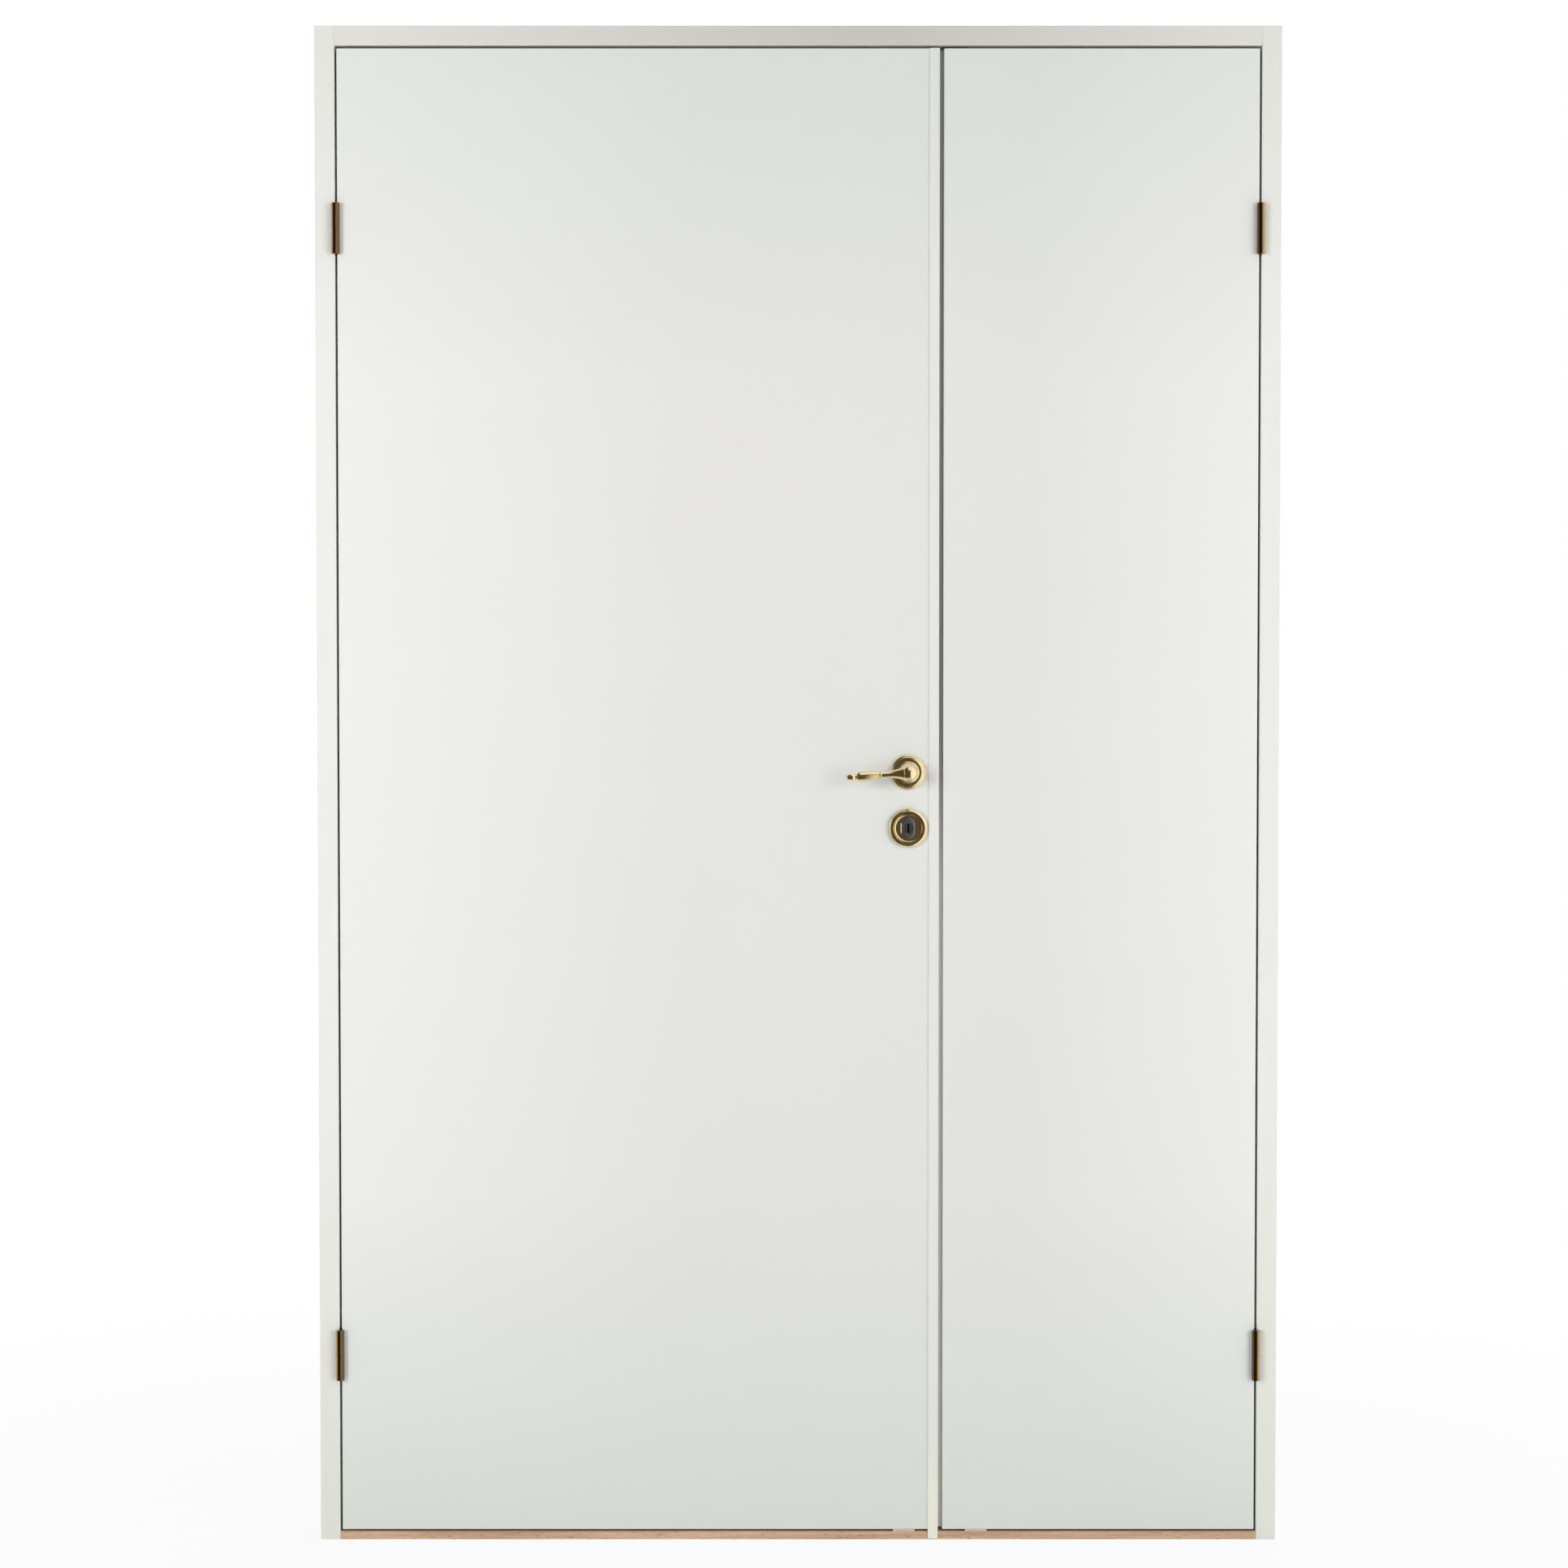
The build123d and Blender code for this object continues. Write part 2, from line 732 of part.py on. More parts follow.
with BuildPart() as meeting_strip:
    with BuildSketch(Plane.XY.offset(strip_floor_gap)):
        with Locations((active_meeting_edge - strip_width / 2, front_face - strip_thickness / 2)):
            Rectangle(strip_width, strip_thickness)
    extrude(amount=leaf_top - strip_floor_gap)
    fillet(meeting_strip.edges().filter_by(Axis.Z).group_by(Axis.Y)[0], strip_edge_radius)
finish(meeting_strip, "meeting_strip")

# Soft lip between the leaves, with its root in the active leaf's groove
lip_tip = passive_meeting_edge - lip_leaf_gap
lip_root = active_meeting_edge - lip_groove
with BuildPart() as meeting_seal:
    with BuildSketch(Plane.XY.offset(leaf_bottom + lip_end_inset)):
        with Locations(((lip_root + lip_tip) / 2, lip_y)):
            Rectangle(lip_tip - lip_root, lip_thickness)
    extrude(amount=leaf_height - 2 * lip_end_inset)
finish(meeting_seal, "meeting_seal")

# The edge bolts stand one near the top of the passive leaf and one near its foot
edge_bolts = {
    "top": (1, leaf_top, leaf_top - edge_plate_inset - edge_plate_length),
    "bottom": (-1, leaf_bottom, leaf_bottom + edge_plate_inset),
}
slide_span = slide_height + edge_bolt_travel + 2 * slide_gap
edge_bolt_screw_planes = []
for way, end_level, plate_low in edge_bolts.values():
    for z in (plate_low + plate_screw_inset, plate_low + edge_plate_length - plate_screw_inset):
        edge_bolt_screw_planes.append(edge_plane(passive_meeting_edge, edge_screw_offset, z, -1))

with BuildPart() as passive_leaf:
    slab(passive_meeting_edge, passive_hinge_edge)
    leaf_hinge_recesses(1)
    with BuildSketch(Plane.XY.offset(forend_bottom)):
        with Locations((passive_meeting_edge + strike_thickness / 2, 0)):
            Rectangle(strike_thickness, forend_width)
    extrude(amount=forend_top - forend_bottom, mode=Mode.SUBTRACT)
    for middle, thickness, height in (
        (latch_middle, latch_thickness, latch_height),
        (bolt_middle, bolt_thickness, bolt_height),
    ):
        with BuildSketch(edge_plane(passive_meeting_edge, 0, middle, -1)):
            Rectangle(thickness + strike_hole_gap, height + strike_hole_gap)
        extrude(amount=-strike_pocket, mode=Mode.SUBTRACT)
    for way, end_level, plate_low in edge_bolts.values():
        with BuildSketch(Plane.XY.offset(plate_low)):
            with Locations((passive_meeting_edge + edge_plate_thickness / 2, 0)):
                Rectangle(edge_plate_thickness, edge_plate_width)
        extrude(amount=edge_plate_length, mode=Mode.SUBTRACT)
        channel_middle = plate_low + edge_plate_length / 2
        channel_height = edge_plate_length - 2 * (plate_screw_inset + edge_channel_margin)
        with BuildSketch(edge_plane(passive_meeting_edge, 0, channel_middle, -1)):
            Rectangle(edge_channel_width, channel_height)
        extrude(amount=-edge_channel_depth, mode=Mode.SUBTRACT)
        with BuildSketch(Plane.XY.offset(end_level)):
            with Locations((keeper_x, 0)):
                Circle(edge_bolt_radius + edge_bolt_clearance)
        extrude(amount=-way * abs(end_level - channel_middle), mode=Mode.SUBTRACT)
    screw_seats(strike_screw_planes)
    screw_seats(edge_bolt_screw_planes, small_screw_radius, small_screw_head_radius, small_screw_length)
finish(passive_leaf, "passive_leaf")

# Strike plate
with BuildPart() as strike_plate:
    with BuildSketch(Plane.XY.offset(forend_bottom)):
        with Locations((passive_meeting_edge + strike_thickness / 2, 0)):
            Rectangle(strike_thickness, forend_width)
    extrude(amount=forend_top - forend_bottom)
    for middle, thickness, height in (
        (latch_middle, latch_thickness, latch_height),
        (bolt_middle, bolt_thickness, bolt_height),
    ):
        with BuildSketch(edge_plane(passive_meeting_edge, 0, middle, -1)):
            Rectangle(thickness + strike_hole_gap, height + strike_hole_gap)
        extrude(amount=-strike_thickness, mode=Mode.SUBTRACT)
    screw_seats(strike_screw_planes)
finish(strike_plate, "strike_plate")
screws("strike_screws", strike_screw_planes)

# Edge bolt plates, each with a slot for its slide
with BuildPart() as edge_bolt_plates:
    for way, end_level, plate_low in edge_bolts.values():
        with BuildSketch(Plane.XY.offset(plate_low)):
            with Locations((passive_meeting_edge + edge_plate_thickness / 2, 0)):
                Rectangle(edge_plate_thickness, edge_plate_width)
        extrude(amount=edge_plate_length)
        plate_middle = plate_low + edge_plate_length / 2
        with BuildSketch(edge_plane(passive_meeting_edge, 0, plate_middle, -1)):
            Rectangle(slide_width + 2 * slide_gap, slide_span)
        extrude(amount=-edge_plate_thickness, mode=Mode.SUBTRACT)
    screw_seats(edge_bolt_screw_planes, small_screw_radius, small_screw_head_radius, small_screw_length)
finish(edge_bolt_plates, "edge_bolt_plates")
screws(
    "edge_bolt_screws",
    edge_bolt_screw_planes,
    small_screw_radius,
    small_screw_head_radius,
    small_screw_length,
)


def edge_bolt(way, end_level, plate_low, label):
    """A round rod with a thumb slide on it, drawn back into the leaf."""
    slide_middle = plate_low + edge_plate_length / 2 - way * edge_bolt_travel / 2
    rod_end = end_level - way * edge_bolt_recess
    rod_foot = slide_middle - way * slide_height / 2
    slide_reach = edge_bolt_depth + edge_bolt_radius + slide_proud
    with BuildPart() as piece:
        with BuildSketch(Plane.XY.offset(rod_foot)):
            with Locations((keeper_x, 0)):
                Circle(edge_bolt_radius)
        extrude(amount=rod_end - rod_foot)
        with BuildSketch(edge_plane(passive_meeting_edge - slide_proud, 0, slide_middle, -1)):
            Rectangle(slide_width, slide_height)
        extrude(amount=-slide_reach)
        nose = piece.faces().sort_by(Axis.Z)[-1 if way > 0 else 0]
        chamfer(nose.edges(), edge_bolt_recess)
    finish(piece, label)


for name, (way, end_level, plate_low) in edge_bolts.items():
    edge_bolt(way, end_level, plate_low, f"{name}_edge_bolt")

# Lock case: an open shell, a cover on its far side, and the forend that shows in the leaf's edge
case_middle = (case_top + case_bottom) / 2
case_height = case_top - case_bottom
cover_y = case_width / 2 - case_wall
post_places = [
    (case_front - post_inset, handle_height - post_drop),
    (case_back + post_inset, handle_height - post_drop),
]
cover_screw_planes = [
    Plane(origin=(x, case_width / 2, z), x_dir=(1, 0, 0), z_dir=(0, 1, 0)) for x, z in post_places
]
cover_screw_length = case_width / 2 + cover_screw_bite


def case_journals(y, depth):
    """The holes in one wall of the case that the follower and the cam turn in."""
    for z, radius in ((handle_height, follower_journal), (lock_height, cam_journal)):
        with BuildSketch(Plane(origin=(spindle_x, y, z), x_dir=(1, 0, 0), z_dir=(0, 1, 0))) as hole:
            Circle(radius + journal_clearance)
        extrude(hole.sketch, amount=depth, mode=Mode.SUBTRACT)


with BuildPart() as lock_case:
    with BuildSketch(Plane(origin=(0, -case_width / 2, 0), x_dir=(1, 0, 0), z_dir=(0, -1, 0))):
        with Locations((case_front - case_depth / 2, case_middle)):
            Rectangle(case_depth, case_height)
    extrude(amount=-(case_width - case_wall))
    with BuildSketch(Plane(origin=(0, case_wall - case_width / 2, 0), x_dir=(1, 0, 0), z_dir=(0, -1, 0))):
        with Locations((case_front - case_depth / 2, case_middle)):
            Rectangle(case_depth - 2 * case_wall, case_height - 2 * case_wall)
    extrude(amount=-case_width, mode=Mode.SUBTRACT)
    with BuildSketch(Plane(origin=(0, case_wall - case_width / 2, 0), x_dir=(1, 0, 0), z_dir=(0, -1, 0))):
        with Locations(*post_places):
            Circle(post_radius)
    extrude(amount=-(case_width - 2 * case_wall))
    case_journals(-case_width / 2, case_wall)
    for middle, thickness, height in (
        (latch_middle, latch_thickness, latch_height),
        (bolt_middle, bolt_thickness, bolt_height),
    ):
        with BuildSketch(edge_plane(case_front, 0, middle, 1)):
            Rectangle(thickness + 2 * bolt_hole_gap, height + 2 * bolt_hole_gap)
        extrude(amount=-case_wall, mode=Mode.SUBTRACT)
    screw_seats(cover_screw_planes, small_screw_radius, small_screw_head_radius, cover_screw_length)
finish(lock_case, "lock_case")

with BuildPart() as lock_cover:
    with BuildSketch(Plane(origin=(0, cover_y, 0), x_dir=(1, 0, 0), z_dir=(0, -1, 0))):
        with Locations((case_front - case_depth / 2, case_middle)):
            Rectangle(case_depth, case_height)
    extrude(amount=-case_wall)
    case_journals(cover_y, case_wall)
    screw_seats(cover_screw_planes, small_screw_radius, small_screw_head_radius, cover_screw_length)
finish(lock_cover, "lock_cover")
screws(
    "lock_cover_screws", cover_screw_planes, small_screw_radius, small_screw_head_radius, cover_screw_length
)

with BuildPart() as forend:
    with BuildSketch(Plane.XY.offset(forend_bottom)):
        with Locations((active_meeting_edge - forend_thickness / 2, 0)):
            Rectangle(forend_thickness, forend_width)
    extrude(amount=forend_top - forend_bottom)
    for middle, thickness, height in (
        (latch_middle, latch_thickness, latch_height),
        (bolt_middle, bolt_thickness, bolt_height),
    ):
        with BuildSketch(edge_plane(active_meeting_edge, 0, middle, 1)):
            Rectangle(thickness + 2 * bolt_hole_gap, height + 2 * bolt_hole_gap)
        extrude(amount=-forend_thickness, mode=Mode.SUBTRACT)
    screw_seats(forend_screw_planes)
finish(forend, "forend")
screws("forend_screws", forend_screw_planes)


# Latch bolt: a bevelled head and a tail with a slot that the follower's arm works in
latch_slot = arm_tip_radius + arm_slot_gap
latch_tail_end = latch_slot_x - latch_slot - latch_hook
head_back = active_meeting_edge - latch_head_length
with BuildPart() as latch_bolt:
    with BuildSketch(Plane.XY.offset(latch_middle - latch_height / 2)):
        with BuildLine():
            Polyline(
                (head_back, -latch_thickness / 2),
                (active_meeting_edge + latch_throw, -latch_thickness / 2),
                (active_meeting_edge + latch_throw, latch_thickness / 2 - latch_bevel_depth),
                (active_meeting_edge, latch_thickness / 2),
                (head_back, latch_thickness / 2),
                close=True,
            )
        make_face()
    extrude(amount=latch_height)
    with BuildSketch(Plane.XY.offset(latch_floor)):
        with Locations(((head_back + latch_tail_end) / 2, 0)):
            Rectangle(head_back - latch_tail_end, arm_thickness)
    extrude(amount=latch_tail_height)
    slot_height = handle_height + arm_reach + latch_slot - latch_floor
    with BuildSketch(Plane.XY.offset(latch_floor)):
        with Locations((latch_slot_x, 0)):
            Rectangle(2 * latch_slot, arm_thickness)
    extrude(amount=slot_height, mode=Mode.SUBTRACT)
finish(latch_bolt, "latch_bolt")

# Latch spring: a coil between the case's back wall and the latch's tail
spring_start = case_back + case_wall
spring_length = latch_tail_end - spring_start
spring_coil = spring_length - 2 * spring_wire
spring_foot = (spring_start + spring_wire, 0, latch_middle)
with BuildPart() as latch_spring:
    with BuildLine():
        coil = Helix(
            pitch=spring_coil / spring_turns,
            height=spring_coil,
            radius=spring_radius,
            center=spring_foot,
            direction=(1, 0, 0),
        )
    with BuildSketch(Plane(origin=coil @ 0, z_dir=coil % 0)):
        Rectangle(2 * spring_wire, 2 * spring_wire)
    sweep(path=coil, is_frenet=True)
finish(latch_spring, "latch_spring")


# Follower and cam: a turning hub with an arm whose round tip works a bolt
def swinging_hub(z, radius, journal, square, reach, start, width, tip, label):
    """A hub between the case's walls, with journals in them, a square hole and one arm."""
    inner_half = case_width / 2 - case_wall - follower_side_gap
    with BuildPart() as piece:
        with BuildSketch(Plane(origin=(spindle_x, -inner_half, z), x_dir=(1, 0, 0), z_dir=(0, -1, 0))):
            Circle(radius)
        extrude(amount=-2 * inner_half)
        with BuildSketch(Plane(origin=(spindle_x, -case_width / 2, z), x_dir=(1, 0, 0), z_dir=(0, -1, 0))):
            Circle(journal)
        extrude(amount=-case_width)
        tip_x = reach * sin(radians(start))
        tip_z = reach * cos(radians(start))
        with BuildSketch(
            Plane(origin=(spindle_x, -arm_thickness / 2, z), x_dir=(1, 0, 0), z_dir=(0, -1, 0))
        ):
            with Locations((tip_x / 2, tip_z / 2)):
                Rectangle(width, reach, rotation=-start)
            with Locations((tip_x, tip_z)):
                Circle(tip)
        extrude(amount=-arm_thickness)
        with BuildSketch(Plane(origin=(spindle_x, -case_width / 2, z), x_dir=(1, 0, 0), z_dir=(0, -1, 0))):
            Rectangle(square, square)
        extrude(amount=-case_width, mode=Mode.SUBTRACT)
    finish(piece, label)


swinging_hub(
    handle_height,
    follower_radius,
    follower_journal,
    spindle_size,
    arm_reach,
    handle_angle / 2,
    arm_width,
    arm_tip_radius,
    "follower",
)
swinging_hub(
    lock_height,
    cam_radius,
    cam_journal,
    turn_square,
    cam_reach,
    -cam_angle / 2,
    cam_arm_width,
    cam_tip_radius,
    "bolt_cam",
)

# Dead bolt, drawn back until its end is flush with the forend
bolt_slot = cam_tip_radius + cam_slot_gap
bolt_tail_end = bolt_slot_x - bolt_slot - bolt_hook
bolt_slot_height = cam_reach - cam_reach * cos(radians(cam_angle / 2)) + 2 * bolt_slot
with BuildPart() as dead_bolt:
    with BuildSketch(Plane.XY.offset(bolt_floor)):
        with Locations(((active_meeting_edge + bolt_tail_end) / 2, 0)):
            Rectangle(active_meeting_edge - bolt_tail_end, bolt_thickness)
    extrude(amount=bolt_height)
    with BuildSketch(Plane.XY.offset(bolt_floor)):
        with Locations((bolt_slot_x, 0)):
            Rectangle(2 * bolt_slot, bolt_thickness)
    extrude(amount=bolt_slot_height, mode=Mode.SUBTRACT)
finish(dead_bolt, "dead_bolt")


# Roses of the handle
def rose_cover(outward, label):
    """A turned brass rose: a rolled rim, a shoulder and a raised collar round the lever's shank."""
    section = turning_plane(spindle_x, handle_height, outward)
    bore = shank_radius + shank_clearance
    with BuildPart() as piece:
        with BuildSketch(section):
            with BuildLine():
                Line((rose_base_radius, 0), (rose_radius, 0))
                Line((rose_radius, 0), (rose_radius, rose_rim))
                TangentArc((rose_radius, rose_rim), (rose_step_radius, rose_step), tangent=(0, 1))
                Line((rose_step_radius, rose_step), (rose_collar_radius, rose_step))
                Line((rose_collar_radius, rose_step), (rose_collar_radius, rose_collar - rose_edge_radius))
                RadiusArc(
                    (rose_collar_radius, rose_collar - rose_edge_radius),
                    (rose_collar_radius - rose_edge_radius, rose_collar),
                    -rose_edge_radius,
                )
                Line((rose_collar_radius - rose_edge_radius, rose_collar), (bore, rose_collar))
                Line((bore, rose_collar), (bore, rose_base_thickness))
                Line((bore, rose_base_thickness), (rose_base_radius, rose_base_thickness))
                Line((rose_base_radius, rose_base_thickness), (rose_base_radius, 0))
            make_face()
        revolve(axis=Axis(section.origin, section.y_dir))
    finish(piece, label)


def rose_base(outward, label):
    """The ring that a rose snaps over, screwed to the leaf, with the shank's bearing in it."""
    with BuildPart() as piece:
        with BuildSketch(face_plane(spindle_x, handle_height, outward)):
            Circle(rose_base_radius)
            Circle(shank_radius + shank_clearance, mode=Mode.SUBTRACT)
        extrude(amount=rose_base_thickness)
        screw_seats(rose_screw_planes, small_screw_radius, small_screw_head_radius, small_screw_length)
    finish(piece, label)


rose_cover(-1, "front_rose_cover")
rose_cover(1, "back_rose_cover")
rose_base(-1, "front_rose_base")
rose_base(1, "back_rose_base")
screws(
    "rose_screws",
    rose_screw_planes + turn_screw_planes,
    small_screw_radius,
    small_screw_head_radius,
    small_screw_length,
)


# Levers: a turned shank, a round elbow, and a turned grip that droops a little from the level
def lever(outward, label):
    """One lever, turned about two lines that cross at the elbow."""
    section = turning_plane(spindle_x, handle_height, outward)
    collar_foot = rose_collar + lever_rose_gap
    collar_top = collar_foot + collar_thickness
    elbow = (spindle_x, outward * (leaf_thickness / 2 + lever_projection), handle_height)
    grip_way = Vector(-cos(radians(lever_droop)), 0, -sin(radians(lever_droop)))
    off_face = Vector(0, outward, 0)
    grip_section = Plane(origin=elbow, x_dir=off_face, z_dir=off_face.cross(grip_way))
    tip_height = lever_reach - knob_shoulder
    knob_tip_radius = (knob_shoulder_radius**2 + tip_height**2) / (2 * tip_height)
    with BuildPart() as piece:
        with BuildSketch(section):
            with BuildLine():
                Polyline(
                    (0, lever_projection + elbow_radius),
                    (0, lever_rose_gap),
                    (shank_radius, lever_rose_gap),
                    (shank_radius, collar_foot),
                    (collar_radius, collar_foot),
                    (collar_radius, collar_top),
                )
                ThreePointArc(
                    (collar_radius, collar_top),
                    (waist_radius, collar_top + (lever_projection - collar_top) / 2),
                    (elbow_radius, lever_projection),
                )
                RadiusArc(
                    (elbow_radius, lever_projection),
                    (0, lever_projection + elbow_radius),
                    -elbow_radius,
                )
            make_face()
        revolve(axis=Axis(section.origin, section.y_dir))
        with BuildSketch(grip_section):
            with BuildLine():
                Polyline((0, 0), (flare_radius, 0), (flare_radius, flare_start))
                ThreePointArc(
                    (flare_radius, flare_start),
                    (flare_middle_radius, flare_middle),
                    (neck_radius, flare_end),
                )
                Line((neck_radius, flare_end), (neck_radius, neck_reach))
                ThreePointArc(
                    (neck_radius, neck_reach),
                    (bead_radius, (neck_reach + grip_start) / 2),
                    (grip_start_radius, grip_start),
                )
                ThreePointArc(
                    (grip_start_radius, grip_start),
                    (grip_middle_radius, (grip_start + grip_full) / 2),
                    (grip_radius, grip_full),
                )
                TangentArc((grip_radius, grip_full), (grip_end_radius, grip_end), tangent=(0, 1))
                Polyline(
                    (grip_end_radius, grip_end),
                    (groove_radius, grip_end),
                    (groove_radius, knob_start),
                )
                ThreePointArc(
                    (groove_radius, knob_start),
                    (knob_radius, (knob_start + knob_shoulder) / 2),
                    (knob_shoulder_radius, knob_shoulder),
                )
                RadiusArc((knob_shoulder_radius, knob_shoulder), (0, lever_reach), -knob_tip_radius)
                Line((0, lever_reach), (0, 0))
            make_face()
        revolve(axis=Axis(grip_section.origin, grip_section.y_dir))
        with BuildSketch(face_plane(spindle_x, handle_height, outward)):
            Rectangle(spindle_size, spindle_size)
        extrude(amount=lever_projection - spindle_end_gap, mode=Mode.SUBTRACT)
        with BuildSketch(grub_plane(outward)):
            Circle(grub_radius)
        extrude(amount=collar_radius, mode=Mode.SUBTRACT)
    finish(piece, label)


def grub_plane(outward):
    """The spindle's lower flat, where the grub screw presses on it."""
    y = outward * (leaf_thickness / 2 + grub_depth)
    return Plane(origin=(spindle_x, y, handle_height - spindle_size / 2), z_dir=(0, 0, -1))


lever(-1, "front_lever")
lever(1, "back_lever")
with BuildPart() as grub_screws:
    for outward in (-1, 1):
        with BuildSketch(grub_plane(outward)):
            Circle(grub_radius)
        extrude(amount=grub_length)
finish(grub_screws, "grub_screws")

spindle_half = leaf_thickness / 2 + lever_projection - spindle_end_gap
with BuildPart() as spindle:
    with BuildSketch(Plane(origin=(spindle_x, -spindle_half, handle_height), z_dir=(0, 1, 0))):
        Rectangle(spindle_size, spindle_size)
    extrude(amount=2 * spindle_half)
finish(spindle, "spindle")

# Cylinder ring: a dished brass roundel with an oval hole for the cylinder
ring_section = turning_plane(spindle_x, lock_height, -1)
with BuildPart() as cylinder_ring:
    with BuildSketch(ring_section):
        with BuildLine():
            Polyline((0, ring_floor), (0, 0), (ring_radius, 0), (ring_radius, ring_rim))
            TangentArc((ring_radius, ring_rim), (ring_crest_radius, ring_height), tangent=(0, 1))
            Line((ring_crest_radius, ring_height), (ring_dish_radius, ring_height))
            TangentArc((ring_dish_radius, ring_height), (ring_floor_radius, ring_floor), tangent=(0, -1))
            Line((ring_floor_radius, ring_floor), (0, ring_floor))
        make_face()
    revolve(axis=Axis(ring_section.origin, ring_section.y_dir))
    with BuildSketch(face_plane(spindle_x, lock_height, -1)):
        SlotOverall(oval_height, oval_width, rotation=90)
    extrude(amount=ring_height, mode=Mode.SUBTRACT)
finish(cylinder_ring, "cylinder_ring")

# Oval cylinder: a housing that reaches back to the lock case, with the key's plug in it
cylinder_face = face_plane(spindle_x, lock_height, -1).offset(oval_proud)
housing_length = oval_proud + leaf_thickness / 2 - case_width / 2
with BuildPart() as cylinder_housing:
    with BuildSketch(cylinder_face):
        SlotOverall(oval_height, oval_width, rotation=90)
    extrude(amount=-housing_length)
    fillet(cylinder_housing.faces().sort_by(Axis.Y)[0].edges(), oval_edge_radius)
    with Locations(cylinder_face):
        Hole(radius=plug_radius + plug_clearance, depth=housing_length)
finish(cylinder_housing, "cylinder_housing")

with BuildPart() as cylinder_plug:
    with BuildSketch(cylinder_face.offset(plug_proud)):
        Circle(plug_radius)
    extrude(amount=-(plug_proud + housing_length - plug_foot_gap))
    with BuildSketch(cylinder_face.offset(plug_proud)):
        Rectangle(keyway_width, keyway_height)
    extrude(amount=-keyway_depth, mode=Mode.SUBTRACT)
finish(cylinder_plug, "cylinder_plug")

# Thumbturn on the far side
turn_section = turning_plane(spindle_x, lock_height, 1)
with BuildPart() as thumbturn_rose:
    with BuildSketch(turn_section):
        with BuildLine():
            turn_rose_bore = turn_shank_radius + shank_clearance
            Polyline(
                (turn_rose_flat_radius, turn_rose_thickness),
                (turn_rose_bore, turn_rose_thickness),
                (turn_rose_bore, 0),
                (turn_rose_radius, 0),
                (turn_rose_radius, rose_rim),
            )
            TangentArc(
                (turn_rose_radius, rose_rim), (turn_rose_flat_radius, turn_rose_thickness), tangent=(0, 1)
            )
        make_face()
    revolve(axis=Axis(turn_section.origin, turn_section.y_dir))
    screw_seats(turn_screw_planes, small_screw_radius, small_screw_head_radius, small_screw_length)
finish(thumbturn_rose, "thumbturn_rose")

turn_face = face_plane(spindle_x, lock_height, 1)
with BuildPart() as thumbturn:
    with BuildSketch(turn_face.offset(turn_neck)):
        SlotOverall(turn_grip_height, turn_grip_width, rotation=90)
    extrude(amount=turn_grip_depth)
    fillet(thumbturn.faces().sort_by(Axis.Y)[-1].edges(), turn_grip_edge)
    with BuildSketch(turn_face.offset(lever_rose_gap)):
        Circle(turn_shank_radius)
    extrude(amount=turn_neck - lever_rose_gap)
    with BuildSketch(turn_face):
        Rectangle(turn_square, turn_square)
    extrude(amount=turn_neck + turn_socket, mode=Mode.SUBTRACT)
finish(thumbturn, "thumbturn")

turn_spindle_length = case_width / 2 + leaf_thickness / 2 + turn_neck + turn_socket - plug_foot_gap
with BuildPart() as turn_spindle:
    with BuildSketch(turn_face.offset(turn_neck + turn_socket)):
        Rectangle(turn_square, turn_square)
    extrude(amount=-turn_spindle_length)
finish(turn_spindle, "turn_spindle")
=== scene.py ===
# %% [markdown]
# # Dressing a double interior door
# The door's wood, hinges and lock were built first as solids at their real size. They arrive here as
# a fixed frame of named nodes, in metres, with X along the door, Y through it and Z up. This lesson
# gives each of them a finish, and works out finer surfaces with numpy where the light shows the form:
# the turned brass, the lock cylinder, the screw heads and the seals.

# %% Load the frame
import bpy
import json
import numpy as np
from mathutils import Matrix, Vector


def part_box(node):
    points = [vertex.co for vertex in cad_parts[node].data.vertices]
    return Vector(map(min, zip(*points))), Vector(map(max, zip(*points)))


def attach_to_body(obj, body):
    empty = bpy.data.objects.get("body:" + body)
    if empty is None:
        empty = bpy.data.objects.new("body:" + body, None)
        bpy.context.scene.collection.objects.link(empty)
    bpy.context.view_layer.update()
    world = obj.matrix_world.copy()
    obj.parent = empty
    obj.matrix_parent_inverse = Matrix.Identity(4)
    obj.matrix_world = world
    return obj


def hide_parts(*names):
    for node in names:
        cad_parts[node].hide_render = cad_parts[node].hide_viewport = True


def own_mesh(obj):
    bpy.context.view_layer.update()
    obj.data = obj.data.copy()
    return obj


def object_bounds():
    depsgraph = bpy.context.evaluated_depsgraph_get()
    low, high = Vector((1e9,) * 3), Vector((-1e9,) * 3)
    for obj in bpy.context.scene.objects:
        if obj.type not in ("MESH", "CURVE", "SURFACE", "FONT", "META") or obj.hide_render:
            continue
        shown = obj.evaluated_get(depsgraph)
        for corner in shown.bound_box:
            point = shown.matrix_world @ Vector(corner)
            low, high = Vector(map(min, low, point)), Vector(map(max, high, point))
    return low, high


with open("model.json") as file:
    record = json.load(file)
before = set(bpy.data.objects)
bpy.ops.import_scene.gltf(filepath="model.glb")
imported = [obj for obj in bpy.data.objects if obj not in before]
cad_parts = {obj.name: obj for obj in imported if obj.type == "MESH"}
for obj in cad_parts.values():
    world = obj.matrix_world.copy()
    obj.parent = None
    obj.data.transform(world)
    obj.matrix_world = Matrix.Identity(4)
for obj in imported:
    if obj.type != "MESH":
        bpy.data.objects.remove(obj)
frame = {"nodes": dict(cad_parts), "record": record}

cad_low, cad_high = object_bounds()
print("nodes", len(frame["nodes"]), "size", [round(v, 4) for v in cad_high - cad_low])

# %% [markdown]
# ## Where things are
# Every new piece has to sit where the solid door has its own, so the places are read from the boxes
# of the nodes and not typed in. A length in this lesson is written in millimetres, times `mm`.

# %% Read the main places from the frame
mm = 0.001


def box(node):
    """Lowest and highest corner of a node as two arrays."""
    low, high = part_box(node)
    return np.array(low), np.array(high)


